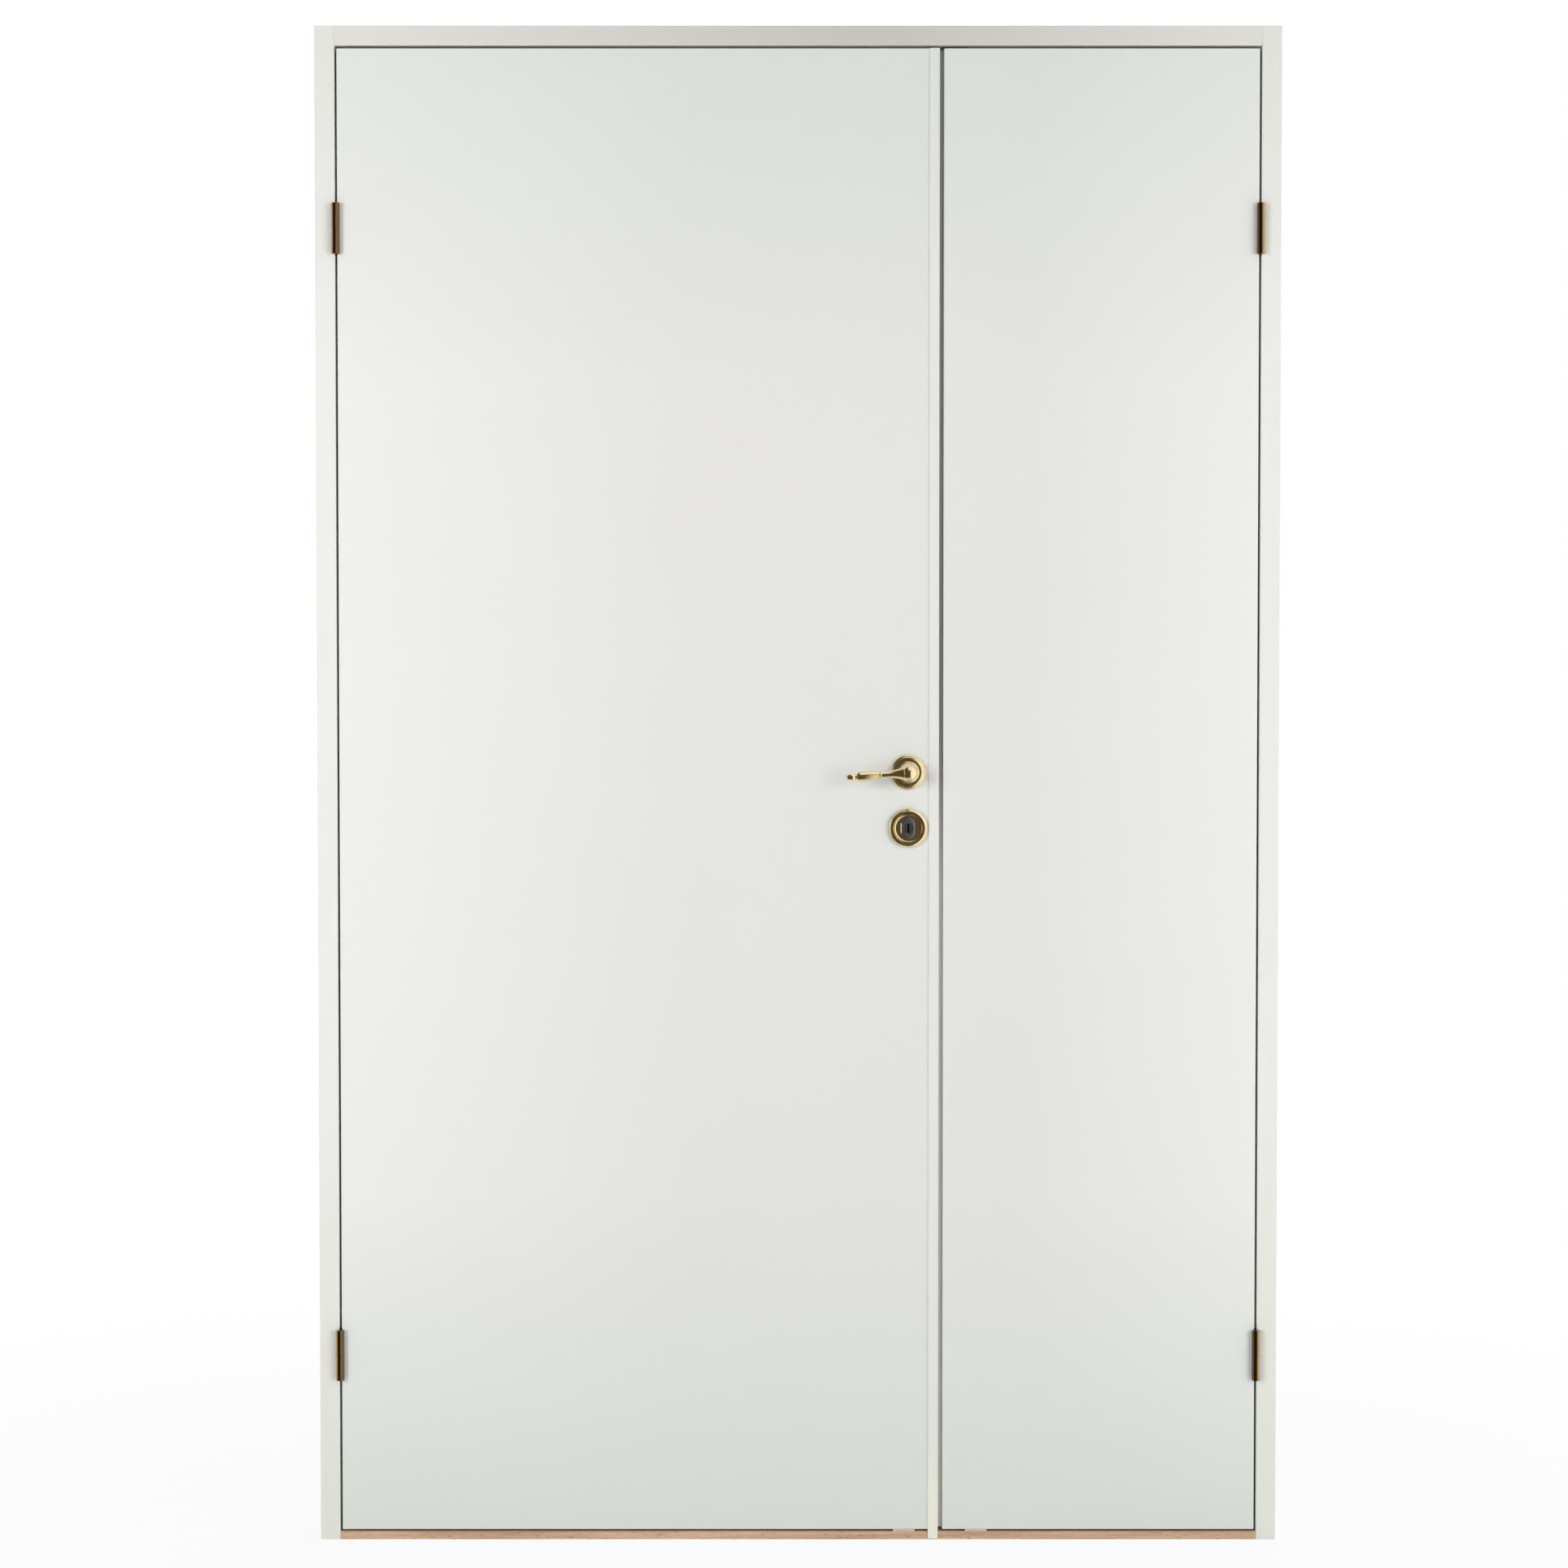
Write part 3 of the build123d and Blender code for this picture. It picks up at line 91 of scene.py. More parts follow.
def centre(node):
    """The middle of a node's box."""
    return sum(box(node)) / 2


leaf_low, leaf_high = box("active_leaf")
spindle_x, _, handle_z = centre("spindle")
lock_z = centre("cylinder_plug")[2]
front_face, back_face = leaf_low[1], leaf_high[1]
print("handle at", round(spindle_x, 4), round(handle_z, 4), "lock at", round(lock_z, 4))

# %% [markdown]
# ## The camera
# The door is seen straight on from about four and a half metres, a little above its middle and
# tilted down by less than two degrees. A level camera with a shifted lens would keep the door's
# sides parallel. The tilt makes the foot slightly narrower than the top, as an eye up there sees it.

# %% Set the camera
camera_distance = 4.5
camera_tilt = np.radians(1.82)
aim_x, aim_z = -19.5 * mm, 1047.8 * mm
aim = Vector((aim_x, front_face, aim_z))
camera_data = bpy.data.cameras.new("front_camera")
camera_data.sensor_width = 36.0
camera_data.lens = 75.1
camera = bpy.data.objects.new("front_camera", camera_data)
bpy.context.scene.collection.objects.link(camera)
camera.location = aim + Vector((0, -camera_distance, camera_distance * np.tan(camera_tilt)))
camera.rotation_euler = (np.pi / 2 - camera_tilt, 0, 0)
bpy.context.scene.camera = camera
bpy.context.scene.view_settings.view_transform = "Standard"
print("camera at", [round(v, 3) for v in camera.location])

# %% [markdown]
# ## Three helpers for node trees
# The room, the floor and every finish are small trees of nodes. They need the same things again and
# again: a value carried from one range onto another, two values put together, and two shaders mixed.

# %% Helpers for node trees
def step_node(tree, value, low, high, at_low=0.0, at_high=1.0, curve="LINEAR"):
    """Carries value's stretch from low to high onto at_low to at_high, and holds it past both ends."""
    node = tree.nodes.new("ShaderNodeMapRange")
    node.interpolation_type = curve
    tree.links.new(value, node.inputs["Value"])
    for name, number in zip(("From Min", "From Max", "To Min", "To Max"), (low, high, at_low, at_high)):
        node.inputs[name].default_value = number
    return node.outputs["Result"]


def math_node(tree, operation, *values):
    """Puts two values together by one operation, each an output of the tree or a number."""
    node = tree.nodes.new("ShaderNodeMath")
    node.operation = operation
    for socket, value in zip(node.inputs, values):
        if isinstance(value, float):
            socket.default_value = value
        else:
            tree.links.new(value, socket)
    return node.outputs[0]


def shader_mix(tree, factor, first, second):
    """The first shader where factor is 0, and the second where it is 1."""
    node = tree.nodes.new("ShaderNodeMixShader")
    for socket, output in zip(node.inputs, (factor, first.outputs[0], second.outputs[0])):
        tree.links.new(output, socket)
    return node.outputs[0]


print("helpers", [helper.__name__ for helper in (step_node, math_node, shader_mix)])

# %% [markdown]
# ## The room that the brass sees
# Polished metal has hardly any colour of its own: it shows the room. In front of the door, where the
# camera stands, the room is dark, with a bright ceiling except at its left, a bright wall to the right,
# a dim one far to the left and a dim patch straight below. Behind the door it is bright on both sides
# and dark between them. A photographed room could be wrapped round the door, but the world can give
# this by direction alone, without a file. It is brighter for mirror rays than for the rays that light
# the paint, so that the brass shines while the paint stays below white. The camera itself sees plain
# white everywhere.

# %% Colour the world by direction
dark_brown, white = (0.085, 0.062, 0.046, 1.0), (1.0, 1.0, 1.0, 1.0)
paint_light, mirror_extra = 0.68, 0.45
world = bpy.data.worlds.new("studio")
bpy.context.scene.world = world
world.use_nodes = True
sky = world.node_tree
sky.nodes.clear()
parts = sky.nodes.new("ShaderNodeSeparateXYZ")
sky.links.new(sky.nodes.new("ShaderNodeTexCoord").outputs["Generated"], parts.inputs[0])


def sky_step(axis, low, high, at_low=0.0, at_high=1.0):
    """A smooth step of the direction's part along axis, from at_low at low to at_high at high."""
    return step_node(sky, parts.outputs[axis], low, high, at_low, at_high, curve="SMOOTHSTEP")


def brighter(first, second):
    """The larger of two brightnesses."""
    return math_node(sky, "MAXIMUM", first, second)


high_up = sky_step("Z", low=0.45, high=0.80, at_high=0.9)
right_part = sky_step("X", low=-0.40, high=-0.05)
ceiling = math_node(sky, "MULTIPLY", high_up, right_part)
patch_below = sky_step("Z", low=-0.95, high=-0.80, at_low=0.5, at_high=0.0)
right_wall = sky_step("X", low=0.10, high=0.42)
left_wall = sky_step("X", low=-0.97, high=-0.84, at_low=0.6, at_high=0.0)
behind_door = sky_step("Y", low=-0.15, high=0.10, at_high=0.9)
left_part = sky_step("X", low=-0.45, high=-0.15, at_low=1.0, at_high=0.0)
rear_wall = math_node(sky, "MULTIPLY", behind_door, left_part)
room = brighter(brighter(ceiling, patch_below), brighter(brighter(left_wall, right_wall), rear_wall))
tone = sky.nodes.new("ShaderNodeMix")
tone.data_type = "RGBA"
sky.links.new(room, tone.inputs["Factor"])
tone.inputs["A"].default_value = dark_brown
tone.inputs["B"].default_value = white
ray = sky.nodes.new("ShaderNodeLightPath")
mirrored = math_node(sky, "MULTIPLY", ray.outputs["Is Glossy Ray"], mirror_extra)
room_light = sky.nodes.new("ShaderNodeBackground")
sky.links.new(tone.outputs["Result"], room_light.inputs["Color"])
sky.links.new(math_node(sky, "ADD", mirrored, paint_light), room_light.inputs["Strength"])
plain_white = sky.nodes.new("ShaderNodeBackground")
plain_white.inputs["Color"].default_value = white
plain_white.inputs["Strength"].default_value = 1.0
seen = shader_mix(sky, ray.outputs["Is Camera Ray"], room_light, plain_white)
sky.links.new(seen, sky.nodes.new("ShaderNodeOutputWorld").inputs["Surface"])
print("world nodes", len(sky.nodes))

# %% [markdown]
# ## The floor
# The floor is pale and matt. A studio hides its horizon with a backdrop that curves up, but that would
# stand in the way of the views from behind. So this floor is flat and glows to the camera: nine tenths
# at the foot of the frame, so that a soft shadow stays there, and fully a few steps away. The glow is
# for camera rays only, so the floor still lights the door's foot as a pale floor does. The brass
# doesn't mirror it: what the brass sees below is part of the room that the world gives.

# %% Lay the floor
floor_half = 9.0
floor_tone = (0.8, 0.8, 0.8, 1.0)
glow_starts, glow_full = 0.6, 2.2
glow_near, glow_far = 0.90, 1.0
floor_mesh = bpy.data.meshes.new("floor")
corner = np.array([[-1, -1], [1, -1], [1, 1], [-1, 1]]) * floor_half
floor_mesh.from_pydata(np.column_stack([corner, np.zeros(4)]).tolist(), [], [(0, 1, 2, 3)])
floor = bpy.data.objects.new("floor", floor_mesh)
bpy.context.scene.collection.objects.link(floor)
floor.visible_glossy = False
floor_paint = bpy.data.materials.new("pale_floor")
floor_paint.use_nodes = True
tree = floor_paint.node_tree
tree.nodes.clear()
matt = tree.nodes.new("ShaderNodeBsdfDiffuse")
matt.inputs["Color"].default_value = floor_tone
glow = tree.nodes.new("ShaderNodeEmission")
glow.inputs["Color"].default_value = white
glow.inputs["Strength"].default_value = 1.0
distance = tree.nodes.new("ShaderNodeVectorMath")
distance.operation = "LENGTH"
tree.links.new(tree.nodes.new("ShaderNodeTexCoord").outputs["Object"], distance.inputs[0])
fade_range = (glow_starts, glow_full, glow_near, glow_far)
fade = step_node(tree, distance.outputs["Value"], *fade_range, curve="SMOOTHSTEP")
camera_ray = tree.nodes.new("ShaderNodeLightPath").outputs["Is Camera Ray"]
share = shader_mix(tree, math_node(tree, "MULTIPLY", fade, camera_ray), matt, glow)
tree.links.new(share, tree.nodes.new("ShaderNodeOutputMaterial").inputs["Surface"])
floor_mesh.materials.append(floor_paint)
print("floor", 2 * floor_half, "m wide")

# %% [markdown]
# ## The lamps
# Three large soft lamps: the key from the upper left, a weaker one from the right, and one behind
# for the views of the back. A single sun could light it too, but its shadows have hard edges. Large
# lamps make soft shadows in the gaps, which is what draws the thin grey lines round the leaves.

# %% Hang the lamps
def lamp(name, place, size, watts):
    """A square soft lamp that points at the middle of the door and isn't mirrored in the brass."""
    data = bpy.data.lights.new(name, "AREA")
    data.size = size
    data.energy = watts
    holder = bpy.data.objects.new(name, data)
    holder.location = place
    holder.visible_glossy = False
    middle = Vector((cad_low + cad_high) / 2)
    holder.rotation_euler = (middle - Vector(place)).to_track_quat("-Z", "Y").to_euler()
    bpy.context.scene.collection.objects.link(holder)


lamp("key_lamp", place=(-2.8, -4.2, 1.7), size=2.0, watts=110)
lamp("fill_lamp", place=(3.1, -4.0, 1.3), size=2.4, watts=74)
lamp("rear_lamp", place=(1.6, 3.8, 2.4), size=2.4, watts=88)

# %% [markdown]
# ## Finishes
# A finish is a small tree of nodes. They all need the same few things: noise that is stretched
# along the grain or the brush, a mix of two tones by that noise, and a bump. This helper holds them,
# so each finish below reads as a recipe. All patterns follow the object's own coordinates, in
# metres, so a scale of 1000 is about one spot per millimetre.

# %% A helper for finishes
class Finish:
    """One material in the making."""

    def __init__(self, name, roughness, metallic=0.0):
        """Starts a material with one roughness and metallic value all over."""
        self.material = bpy.data.materials.new(name)
        self.material.use_nodes = True
        self.tree = self.material.node_tree
        self.shader = self.tree.nodes["Principled BSDF"]
        self.shader.inputs["Roughness"].default_value = roughness
        self.shader.inputs["Metallic"].default_value = metallic
        self.place = self.tree.nodes.new("ShaderNodeTexCoord").outputs["Object"]

    def link(self, output, socket):
        """Joins an output to a socket."""
        self.tree.links.new(output, socket)

    def noise(self, scale, stretch=(1, 1, 1), detail=3.0, start=(0, 0, 0)):
        """Cloudy noise from 0 to 1, drawn out along each axis whose stretch is small."""
        mapping = self.tree.nodes.new("ShaderNodeMapping")
        mapping.inputs["Scale"].default_value = stretch
        mapping.inputs["Location"].default_value = start
        self.link(self.place, mapping.inputs["Vector"])
        noise = self.tree.nodes.new("ShaderNodeTexNoise")
        noise.inputs["Scale"].default_value = scale
        noise.inputs["Detail"].default_value = detail
        self.link(mapping.outputs[0], noise.inputs["Vector"])
        return noise.outputs["Fac"]

    def step(self, value, low, high, at_low=0.0, at_high=1.0):
        """Carries value's stretch from low to high onto at_low to at_high."""
        return step_node(self.tree, value, low, high, at_low, at_high)

    def mix(self, factor, first, second):
        """Goes from the first colour to the second one as factor goes from 0 to 1."""
        node = self.tree.nodes.new("ShaderNodeMix")
        node.data_type = "RGBA"
        self.link(factor, node.inputs["Factor"])
        for name, colour in (("A", first), ("B", second)):
            if isinstance(colour, tuple):
                node.inputs[name].default_value = (*colour, 1)
            else:
                self.link(colour, node.inputs[name])
        return node.outputs["Result"]

    def bump(self, height, distance, strength=1.0, under=None):
        """Raises the surface by up to distance metres where height is 1."""
        node = self.tree.nodes.new("ShaderNodeBump")
        node.inputs["Strength"].default_value = strength
        node.inputs["Distance"].default_value = distance
        self.link(height, node.inputs["Height"])
        if under is not None:
            self.link(under, node.inputs["Normal"])
        return node.outputs["Normal"]

    def set(self, **outputs):
        """Feeds outputs into the shader's sockets by name, with _ for a space."""
        for name, output in outputs.items():
            self.link(output, self.shader.inputs[name.replace("_", " ")])
        return self.material

    def coordinates(self):
        """The object's own x, y and z, in metres."""
        parts = self.tree.nodes.new("ShaderNodeSeparateXYZ")
        self.link(self.place, parts.inputs[0])
        return parts.outputs


print("a finish can", [step for step in vars(Finish) if not step.startswith("_")])

# %% [markdown]
# ## Sprayed white paint
# The leaves are sprayed, and sprayed paint dries to a fine orange peel of dots about a millimetre wide.
# On the front side they also carry painted shade, a shade cooler and greyer towards their top and
# foot than in the middle, and painted light, paler towards the hinges. A painted image could carry
# that. Here the white is mixed by place instead, with steps over the object's own coordinates, and
# each step is written as where it starts and where it is full, in metres. Behind, the white stays even.

# %% Spray the leaves
front_ends_at = front_face + 2 * mm, front_face + 6 * mm


def sprayed_paint():
    """The leaves' white: cool, greyer painted shade near both ends, paler painted light to the sides, and a
    fine orange peel.
    """
    paint = Finish("sprayed_white", 0.34)
    x, y, z = paint.coordinates()
    # Painted shade greys the front towards its top and foot, and painted light pales it towards the hinges.
    near_top = paint.step(z, 1.60, 2.06)
    near_foot = paint.step(z, 0.48, 0.02)
    near_left = paint.step(x, -0.15, -0.62)
    near_right = paint.step(x, 0.32, 0.63)
    warm, cool = (0.776, 0.774, 0.748), (0.761, 0.776, 0.762)
    lit, lit_top = (0.840, 0.847, 0.833), (0.755, 0.780, 0.755)
    painted_shade_top, painted_shade_foot = (0.700, 0.740, 0.695), (0.710, 0.755, 0.712)
    drift = paint.noise(1.6, stretch=(1, 1, 0.6), detail=2.0)
    body = paint.mix(paint.step(drift, 0.35, 0.65), warm, cool)
    middle = paint.mix(near_right, paint.mix(near_left, body, lit), lit)
    top = paint.mix(near_right, paint.mix(near_left, painted_shade_top, lit_top), lit_top)
    front = paint.mix(near_foot, paint.mix(near_top, middle, top), painted_shade_foot)
    colour = paint.mix(paint.step(y, *front_ends_at), front, body)
    peel = paint.bump(paint.noise(900.0, detail=1.0), 0.06 * mm, 0.35)
    wave = paint.bump(paint.noise(14.0, detail=1.0), 0.6 * mm, 0.25, peel)
    gloss = paint.step(paint.noise(6.0), 0.3, 0.7, 0.30, 0.38)
    return paint.set(Base_Color=colour, Normal=wave, Roughness=gloss)


leaf_white = sprayed_paint()
print(leaf_white.name, "front ends at", [round(v / mm, 1) for v in front_ends_at], "mm")

# %% [markdown]
# ## Brushed white paint
# The frame and the meeting strip are brushed, which leaves long faint ridges along the wood. As real
# faces they would number millions, so a bump carries them, made of noise that is drawn out some eighty
# times along the brush's way. On the front only, painted shade greys the jambs towards their foot and
# top, the strip towards its top and the head in its middle, and painted light makes the strip paler and
# yellower at its foot. The head's whole white is painted darker than the jambs' as shade.

# %% Brush the frame and the strip
x_axis, z_axis = 0, 2


def brushed_paint(name, along, tint, foot=None, foot_from=0.60, top=None, middle=None):
    """A white with brush marks along one axis, and painted light and shade at its foot, top or middle, on
    the front.
    """
    paint = Finish(name, 0.36)
    x, y, z = paint.coordinates()
    stretch = [1.0, 1.0, 1.0]
    stretch[along] = 0.012
    marks = paint.noise(700.0, stretch=stretch, detail=2.0)
    cloud = paint.noise(5.0, stretch=stretch)
    shade = tuple(0.955 * value for value in tint)
    body = front = paint.mix(paint.step(cloud, 0.3, 0.7), tint, shade)
    # The foot, top and middle tones are painted light and shade on the front.
    if foot is not None:
        front = paint.mix(paint.step(z, foot_from, foot_from / 6), front, foot)
    if top is not None:
        front = paint.mix(paint.step(z, 1.70, 2.06), front, top)
    if middle is not None:
        near_left, near_right = paint.step(x, 0.05, -0.60), paint.step(x, 0.15, 0.62)
        front = paint.mix(near_right, paint.mix(near_left, middle, front), front)
    colour = paint.mix(paint.step(y, *front_ends_at), front, body)
    ridges = paint.bump(marks, 0.10 * mm, 0.4)
    gloss = paint.step(marks, 0.3, 0.7, 0.30, 0.44)
    return paint.set(Base_Color=colour, Normal=ridges, Roughness=gloss)


# The jambs' foot and top tones are painted shade.
jamb_painted_shade = {"foot": (0.775, 0.790, 0.735), "top": (0.770, 0.770, 0.735)}
jamb_white = brushed_paint("jamb_white", z_axis, (0.850, 0.855, 0.825), **jamb_painted_shade)
# The head's whole tint, darker than the jambs', is painted shade, and its middle tone is darker painted
# shade still.
head_white = brushed_paint("head_white", x_axis, (0.745, 0.740, 0.700), middle=(0.568, 0.565, 0.524))
# The strip's foot tone is painted light, and its top tone is painted shade.
strip_painted_light_and_shade = {"foot": (0.850, 0.855, 0.750), "foot_from": 0.16, "top": (0.715, 0.750, 0.705)}
strip_cream = brushed_paint("strip_cream", z_axis, (0.805, 0.805, 0.785), **strip_painted_light_and_shade)
print("brushed paints", jamb_white.name, head_white.name, strip_cream.name)

# %% [markdown]
# ## Oak
# The threshold is oak with its grain along the door. Three things make it read as oak: wide bands
# of spring and summer wood, fine darker fibres, and short open pores, which are dark and sunk. A
# scanned board would repeat along a sill this long. Noise drawn out along X gives all three and doesn't.

# %% Grow the oak
def oak():
    """Bands, fibres and pores, all drawn out along X."""
    wood = Finish("oiled_oak", 0.48)
    spring_wood, summer_wood = (0.700, 0.505, 0.330), (0.540, 0.355, 0.220)
    fibre_tone, pore_tone = (0.365, 0.230, 0.140), (0.180, 0.105, 0.060)
    bands = wood.noise(95.0, stretch=(0.035, 1, 1), detail=2.0)
    fibres = wood.noise(900.0, stretch=(0.02, 1, 1))
    pores = wood.noise(1500.0, stretch=(0.06, 1, 1), detail=1.0, start=(3, 1, 2))
    tone = wood.mix(wood.step(bands, 0.35, 0.65), spring_wood, summer_wood)
    tone = wood.mix(wood.step(fibres, 0.45, 0.75, 0.0, 0.5), tone, fibre_tone)
    tone = wood.mix(wood.step(pores, 0.66, 0.72), tone, pore_tone)
    sunk = wood.bump(wood.step(pores, 0.66, 0.72, 1.0, 0.0), 0.15 * mm, 0.6)
    grain = wood.bump(fibres, 0.08 * mm, 0.5, sunk)
    return wood.set(Base_Color=tone, Normal=grain)


oak_finish = oak()
print(oak_finish.name, len(oak_finish.node_tree.nodes), "nodes")

# %% [markdown]
# ## Metals
# Polished brass is bright, with hair-fine wiping scratches and a thin lacquer. The hinges are brass
# too, bare and of a darker tone: their outer side stays bright, and a dark reflection is painted on
# the side towards the leaves. Nickel on the lock's small parts is satin: its roughness is drawn out in
# one direction by the grinding belt. An anisotropic shader could blur it that way, but noise drawn out
# along Z also shows single lines. The plug is painted black behind its face, as the shade inside its
# keyway. Zinc on the hidden steel is duller and clouded.

# %% Polish the metals
pins_low, pins_high = box("hinge_pins")
pin_radius = (pins_high - pins_low)[1] / 2
left_axis, right_axis = pins_low[0] + pin_radius, pins_high[0] - pin_radius
dark_reflection_to, bright_from = 0.5 * mm, 4.0 * mm
keyway_painted_shade = (0.012, 0.014, 0.016)


def brass(name, tone, worn, lacquer, painted_dark_reflection=None):
    """Polished brass: a warm metal with faint wiping marks under lacquer, with a dark reflection painted
    towards the leaves.
    """
    metal = Finish(name, 0.14, 1.0)
    wipes = metal.noise(1400.0, stretch=(1, 1, 0.15), detail=2.0)
    tarnish = metal.noise(60.0)
    colour = metal.mix(metal.step(tarnish, 0.35, 0.75), tone, worn)
    # The dark tone between the hinge axes, on the side towards the leaves, is a painted reflection.
    if painted_dark_reflection is not None:
        x = metal.coordinates()[0]
        past_left = metal.step(x, left_axis - bright_from, left_axis - dark_reflection_to, 1.0, 0.0)
        past_right = metal.step(x, right_axis + dark_reflection_to, right_axis + bright_from)
        colour = metal.mix(past_left, metal.mix(past_right, painted_dark_reflection, colour), colour)
    gloss = metal.step(wipes, 0.3, 0.8, 0.10, 0.20)
    metal.shader.inputs["Coat Weight"].default_value = lacquer
    metal.shader.inputs["Coat Roughness"].default_value = 0.08
    return metal.set(Base_Color=colour, Roughness=gloss, Normal=metal.bump(wipes, 0.01 * mm, 0.3))


def satin(name, tone, belt, low, high, painted_shade_behind=None):
    """A satin metal, with grinding lines along Z, and painted black as shade behind a place on Y."""
    metal = Finish(name, 0.3, 1.0)
    lines = metal.noise(2600.0, stretch=(1, 1, belt), detail=2.0)
    cloud = metal.noise(45.0, detail=2.0)
    worn = tuple(0.86 * value for value in tone)
    colour = metal.mix(metal.step(cloud, 0.35, 0.7), tone, worn)
    # Behind that place the plug is painted black, as the shade inside its keyway.
    if painted_shade_behind is not None:
        y = metal.coordinates()[1]
        colour = metal.mix(metal.step(y, painted_shade_behind, painted_shade_behind + 0.2 * mm), colour, keyway_painted_shade)
    gloss = metal.step(lines, 0.3, 0.7, low, high)
    return metal.set(Base_Color=colour, Roughness=gloss, Normal=metal.bump(lines, 0.01 * mm, 0.4))


brass_finish = brass("polished_brass", (0.900, 0.760, 0.470), (0.840, 0.680, 0.380), 0.25)
hinge_tones = (0.560, 0.420, 0.250), (0.490, 0.350, 0.190)
hinge_finish = brass("brass_painted_reflection", *hinge_tones, 0.0, painted_dark_reflection=(0.150, 0.100, 0.050))
nickel_finish = satin("satin_nickel", (0.560, 0.545, 0.510), 0.03, 0.24, 0.36)
cylinder_finish = satin("cylinder_nickel", (0.310, 0.335, 0.360), 0.03, 0.28, 0.42)
# The plug is painted black behind its face, as painted shade in its keyway.
plug_back = box("cylinder_plug")[0][1] + 0.3 * mm
plug_finish = satin("plug_nickel", (0.190, 0.210, 0.230), 0.03, 0.28, 0.42, painted_shade_behind=plug_back)
zinc_finish = satin("bright_zinc", (0.570, 0.590, 0.610), 0.6, 0.32, 0.5)
print("metals", [finish.name for finish in (brass_finish, hinge_finish, nickel_finish, zinc_finish)])

# %% [markdown]
# ## Seal and pads
# The seals in the stops are soft white rubber with a dull skin, the lip between the leaves is a grey
# one, and the pads on the threshold are a pale tan plastic. A plain colour could do for pieces this
# small, but they would look like the paint beside them, so they get a fine grain.

# %% Mix the soft finishes
def soft_finish(name, tone, deep, grain, depth, paler_below=None):
    """A dull surface with a fine grain of two tones, which may be paler in its lower half."""
    soft = Finish(name, 0.72)
    specks = soft.noise(grain, detail=4.0)
    colour = soft.mix(soft.step(specks, 0.3, 0.7), tone, deep)
    # The lower half, below about a metre, is paler.
    if paler_below is not None:
        z = soft.coordinates()[2]
        colour = soft.mix(soft.step(z, 1.10, 0.90), colour, paler_below)
    soft.shader.inputs["Sheen Weight"].default_value = 0.15
    return soft.set(Base_Color=colour, Normal=soft.bump(specks, depth, 0.6))


seal_finish = soft_finish("white_seal", (0.700, 0.700, 0.670), (0.600, 0.600, 0.570), 1200.0, 0.05 * mm)
lip_tones = (0.340, 0.340, 0.320), (0.260, 0.260, 0.245)
lip_finish = soft_finish("grey_seal", *lip_tones, 1200.0, 0.05 * mm, paler_below=(0.640, 0.640, 0.610))
pad_finish = soft_finish("tan_pad", (0.680, 0.610, 0.515), (0.600, 0.520, 0.430), 1500.0, 0.2 * mm)
print("soft finishes", seal_finish.name, lip_finish.name, pad_finish.name)

# %% [markdown]
# ## Paint the solids
# Every node gets its finish here, and the pieces that stand for nodes further on take it over. The
# nodes could be painted one by one, but the record of the door names a slot for each of them, so one
# table from slot to finish covers them all, and a short second one holds the exceptions.

# %% Give every node its finish
finish_of_slot = {
    "white_paint": jamb_white,
    "strip_paint": strip_cream,
    "oiled_oak": oak_finish,
    "pad_plastic": pad_finish,
    "polished_brass": brass_finish,
    "satin_nickel": nickel_finish,
    "zinc_steel": zinc_finish,
    "white_seal": seal_finish,
    "grey_seal": lip_finish,
}
finish_of_node = {
    "active_leaf": leaf_white,
    "passive_leaf": leaf_white,
    "head_jamb": head_white,
    "cylinder_housing": cylinder_finish,
    "cylinder_plug": plug_finish,
}
finish_of_node.update({node: hinge_finish for node in frame["nodes"] if node.endswith("_hinge")})
slot_of_node = {part["node"]: part["material_slot"] for part in frame["record"]["subparts"]}
body_of_node = {
    node: body for body, nodes in frame["record"]["behaviour"]["bodies"].items() for node in nodes
}


def finish_for(node):
    """The finish of a node: its own, or its slot's."""
    return finish_of_node.get(node, finish_of_slot[slot_of_node[node]])


for node, solid in frame["nodes"].items():
    for holder in solid.material_slots:
        holder.material = finish_for(node)
print("painted", len(frame["nodes"]), "nodes with", len(set(map(finish_for, frame["nodes"]))), "finishes")

# %% [markdown]
# ## From arrays to a mesh
# A numpy surface is a grid of points. Here each row of it is a closed ring, neighbours in the grid
# become quads, and the last row may be joined to the first. Where a row shrinks to a single point, as
# at the tip of a knob, the quads there have two corners in one place, so points that coincide are
# merged afterwards, and that closes the pole. The faces are then turned to point outwards, and edges
# where they meet at more than forty degrees are kept sharp.

# %% Make grids into pieces
import bmesh

merge_distance = 0.001 * mm
piece_angle = np.radians(40)


def grid_quads(rows, columns, close_rows, first):
    """The corner numbers of all quads of a grid whose points are numbered row by row from first."""
    index = first + np.arange(rows * columns).reshape(rows, columns)
    if close_rows:
        index = np.vstack([index, index[:1]])
    index = np.hstack([index, index[:, :1]])
    return np.stack([index[:-1, :-1], index[:-1, 1:], index[1:, 1:], index[1:, :-1]], -1).reshape(-1, 4)


def make_piece(name, sheets, replaced):
    """One smooth object from grids of points (points, close_rows), in place of nodes."""
    points, quads, count = [], [], 0
    for grid, close_rows in sheets:
        rows, columns = grid.shape[:2]
        points.append(grid.reshape(-1, 3))
        quads.append(grid_quads(rows, columns, close_rows, count))
        count += rows * columns
    mesh = bpy.data.meshes.new(name)
    mesh.from_pydata(np.vstack(points).tolist(), [], np.vstack(quads).tolist())
    shell = bmesh.new()
    shell.from_mesh(mesh)
    bmesh.ops.remove_doubles(shell, verts=shell.verts, dist=merge_distance)
    bmesh.ops.recalc_face_normals(shell, faces=shell.faces)
    shell.to_mesh(mesh)
    shell.free()
    mesh.shade_smooth()
    mesh.set_sharp_from_angle(angle=piece_angle)
    attach(bpy.data.objects.new(name, mesh), replaced)


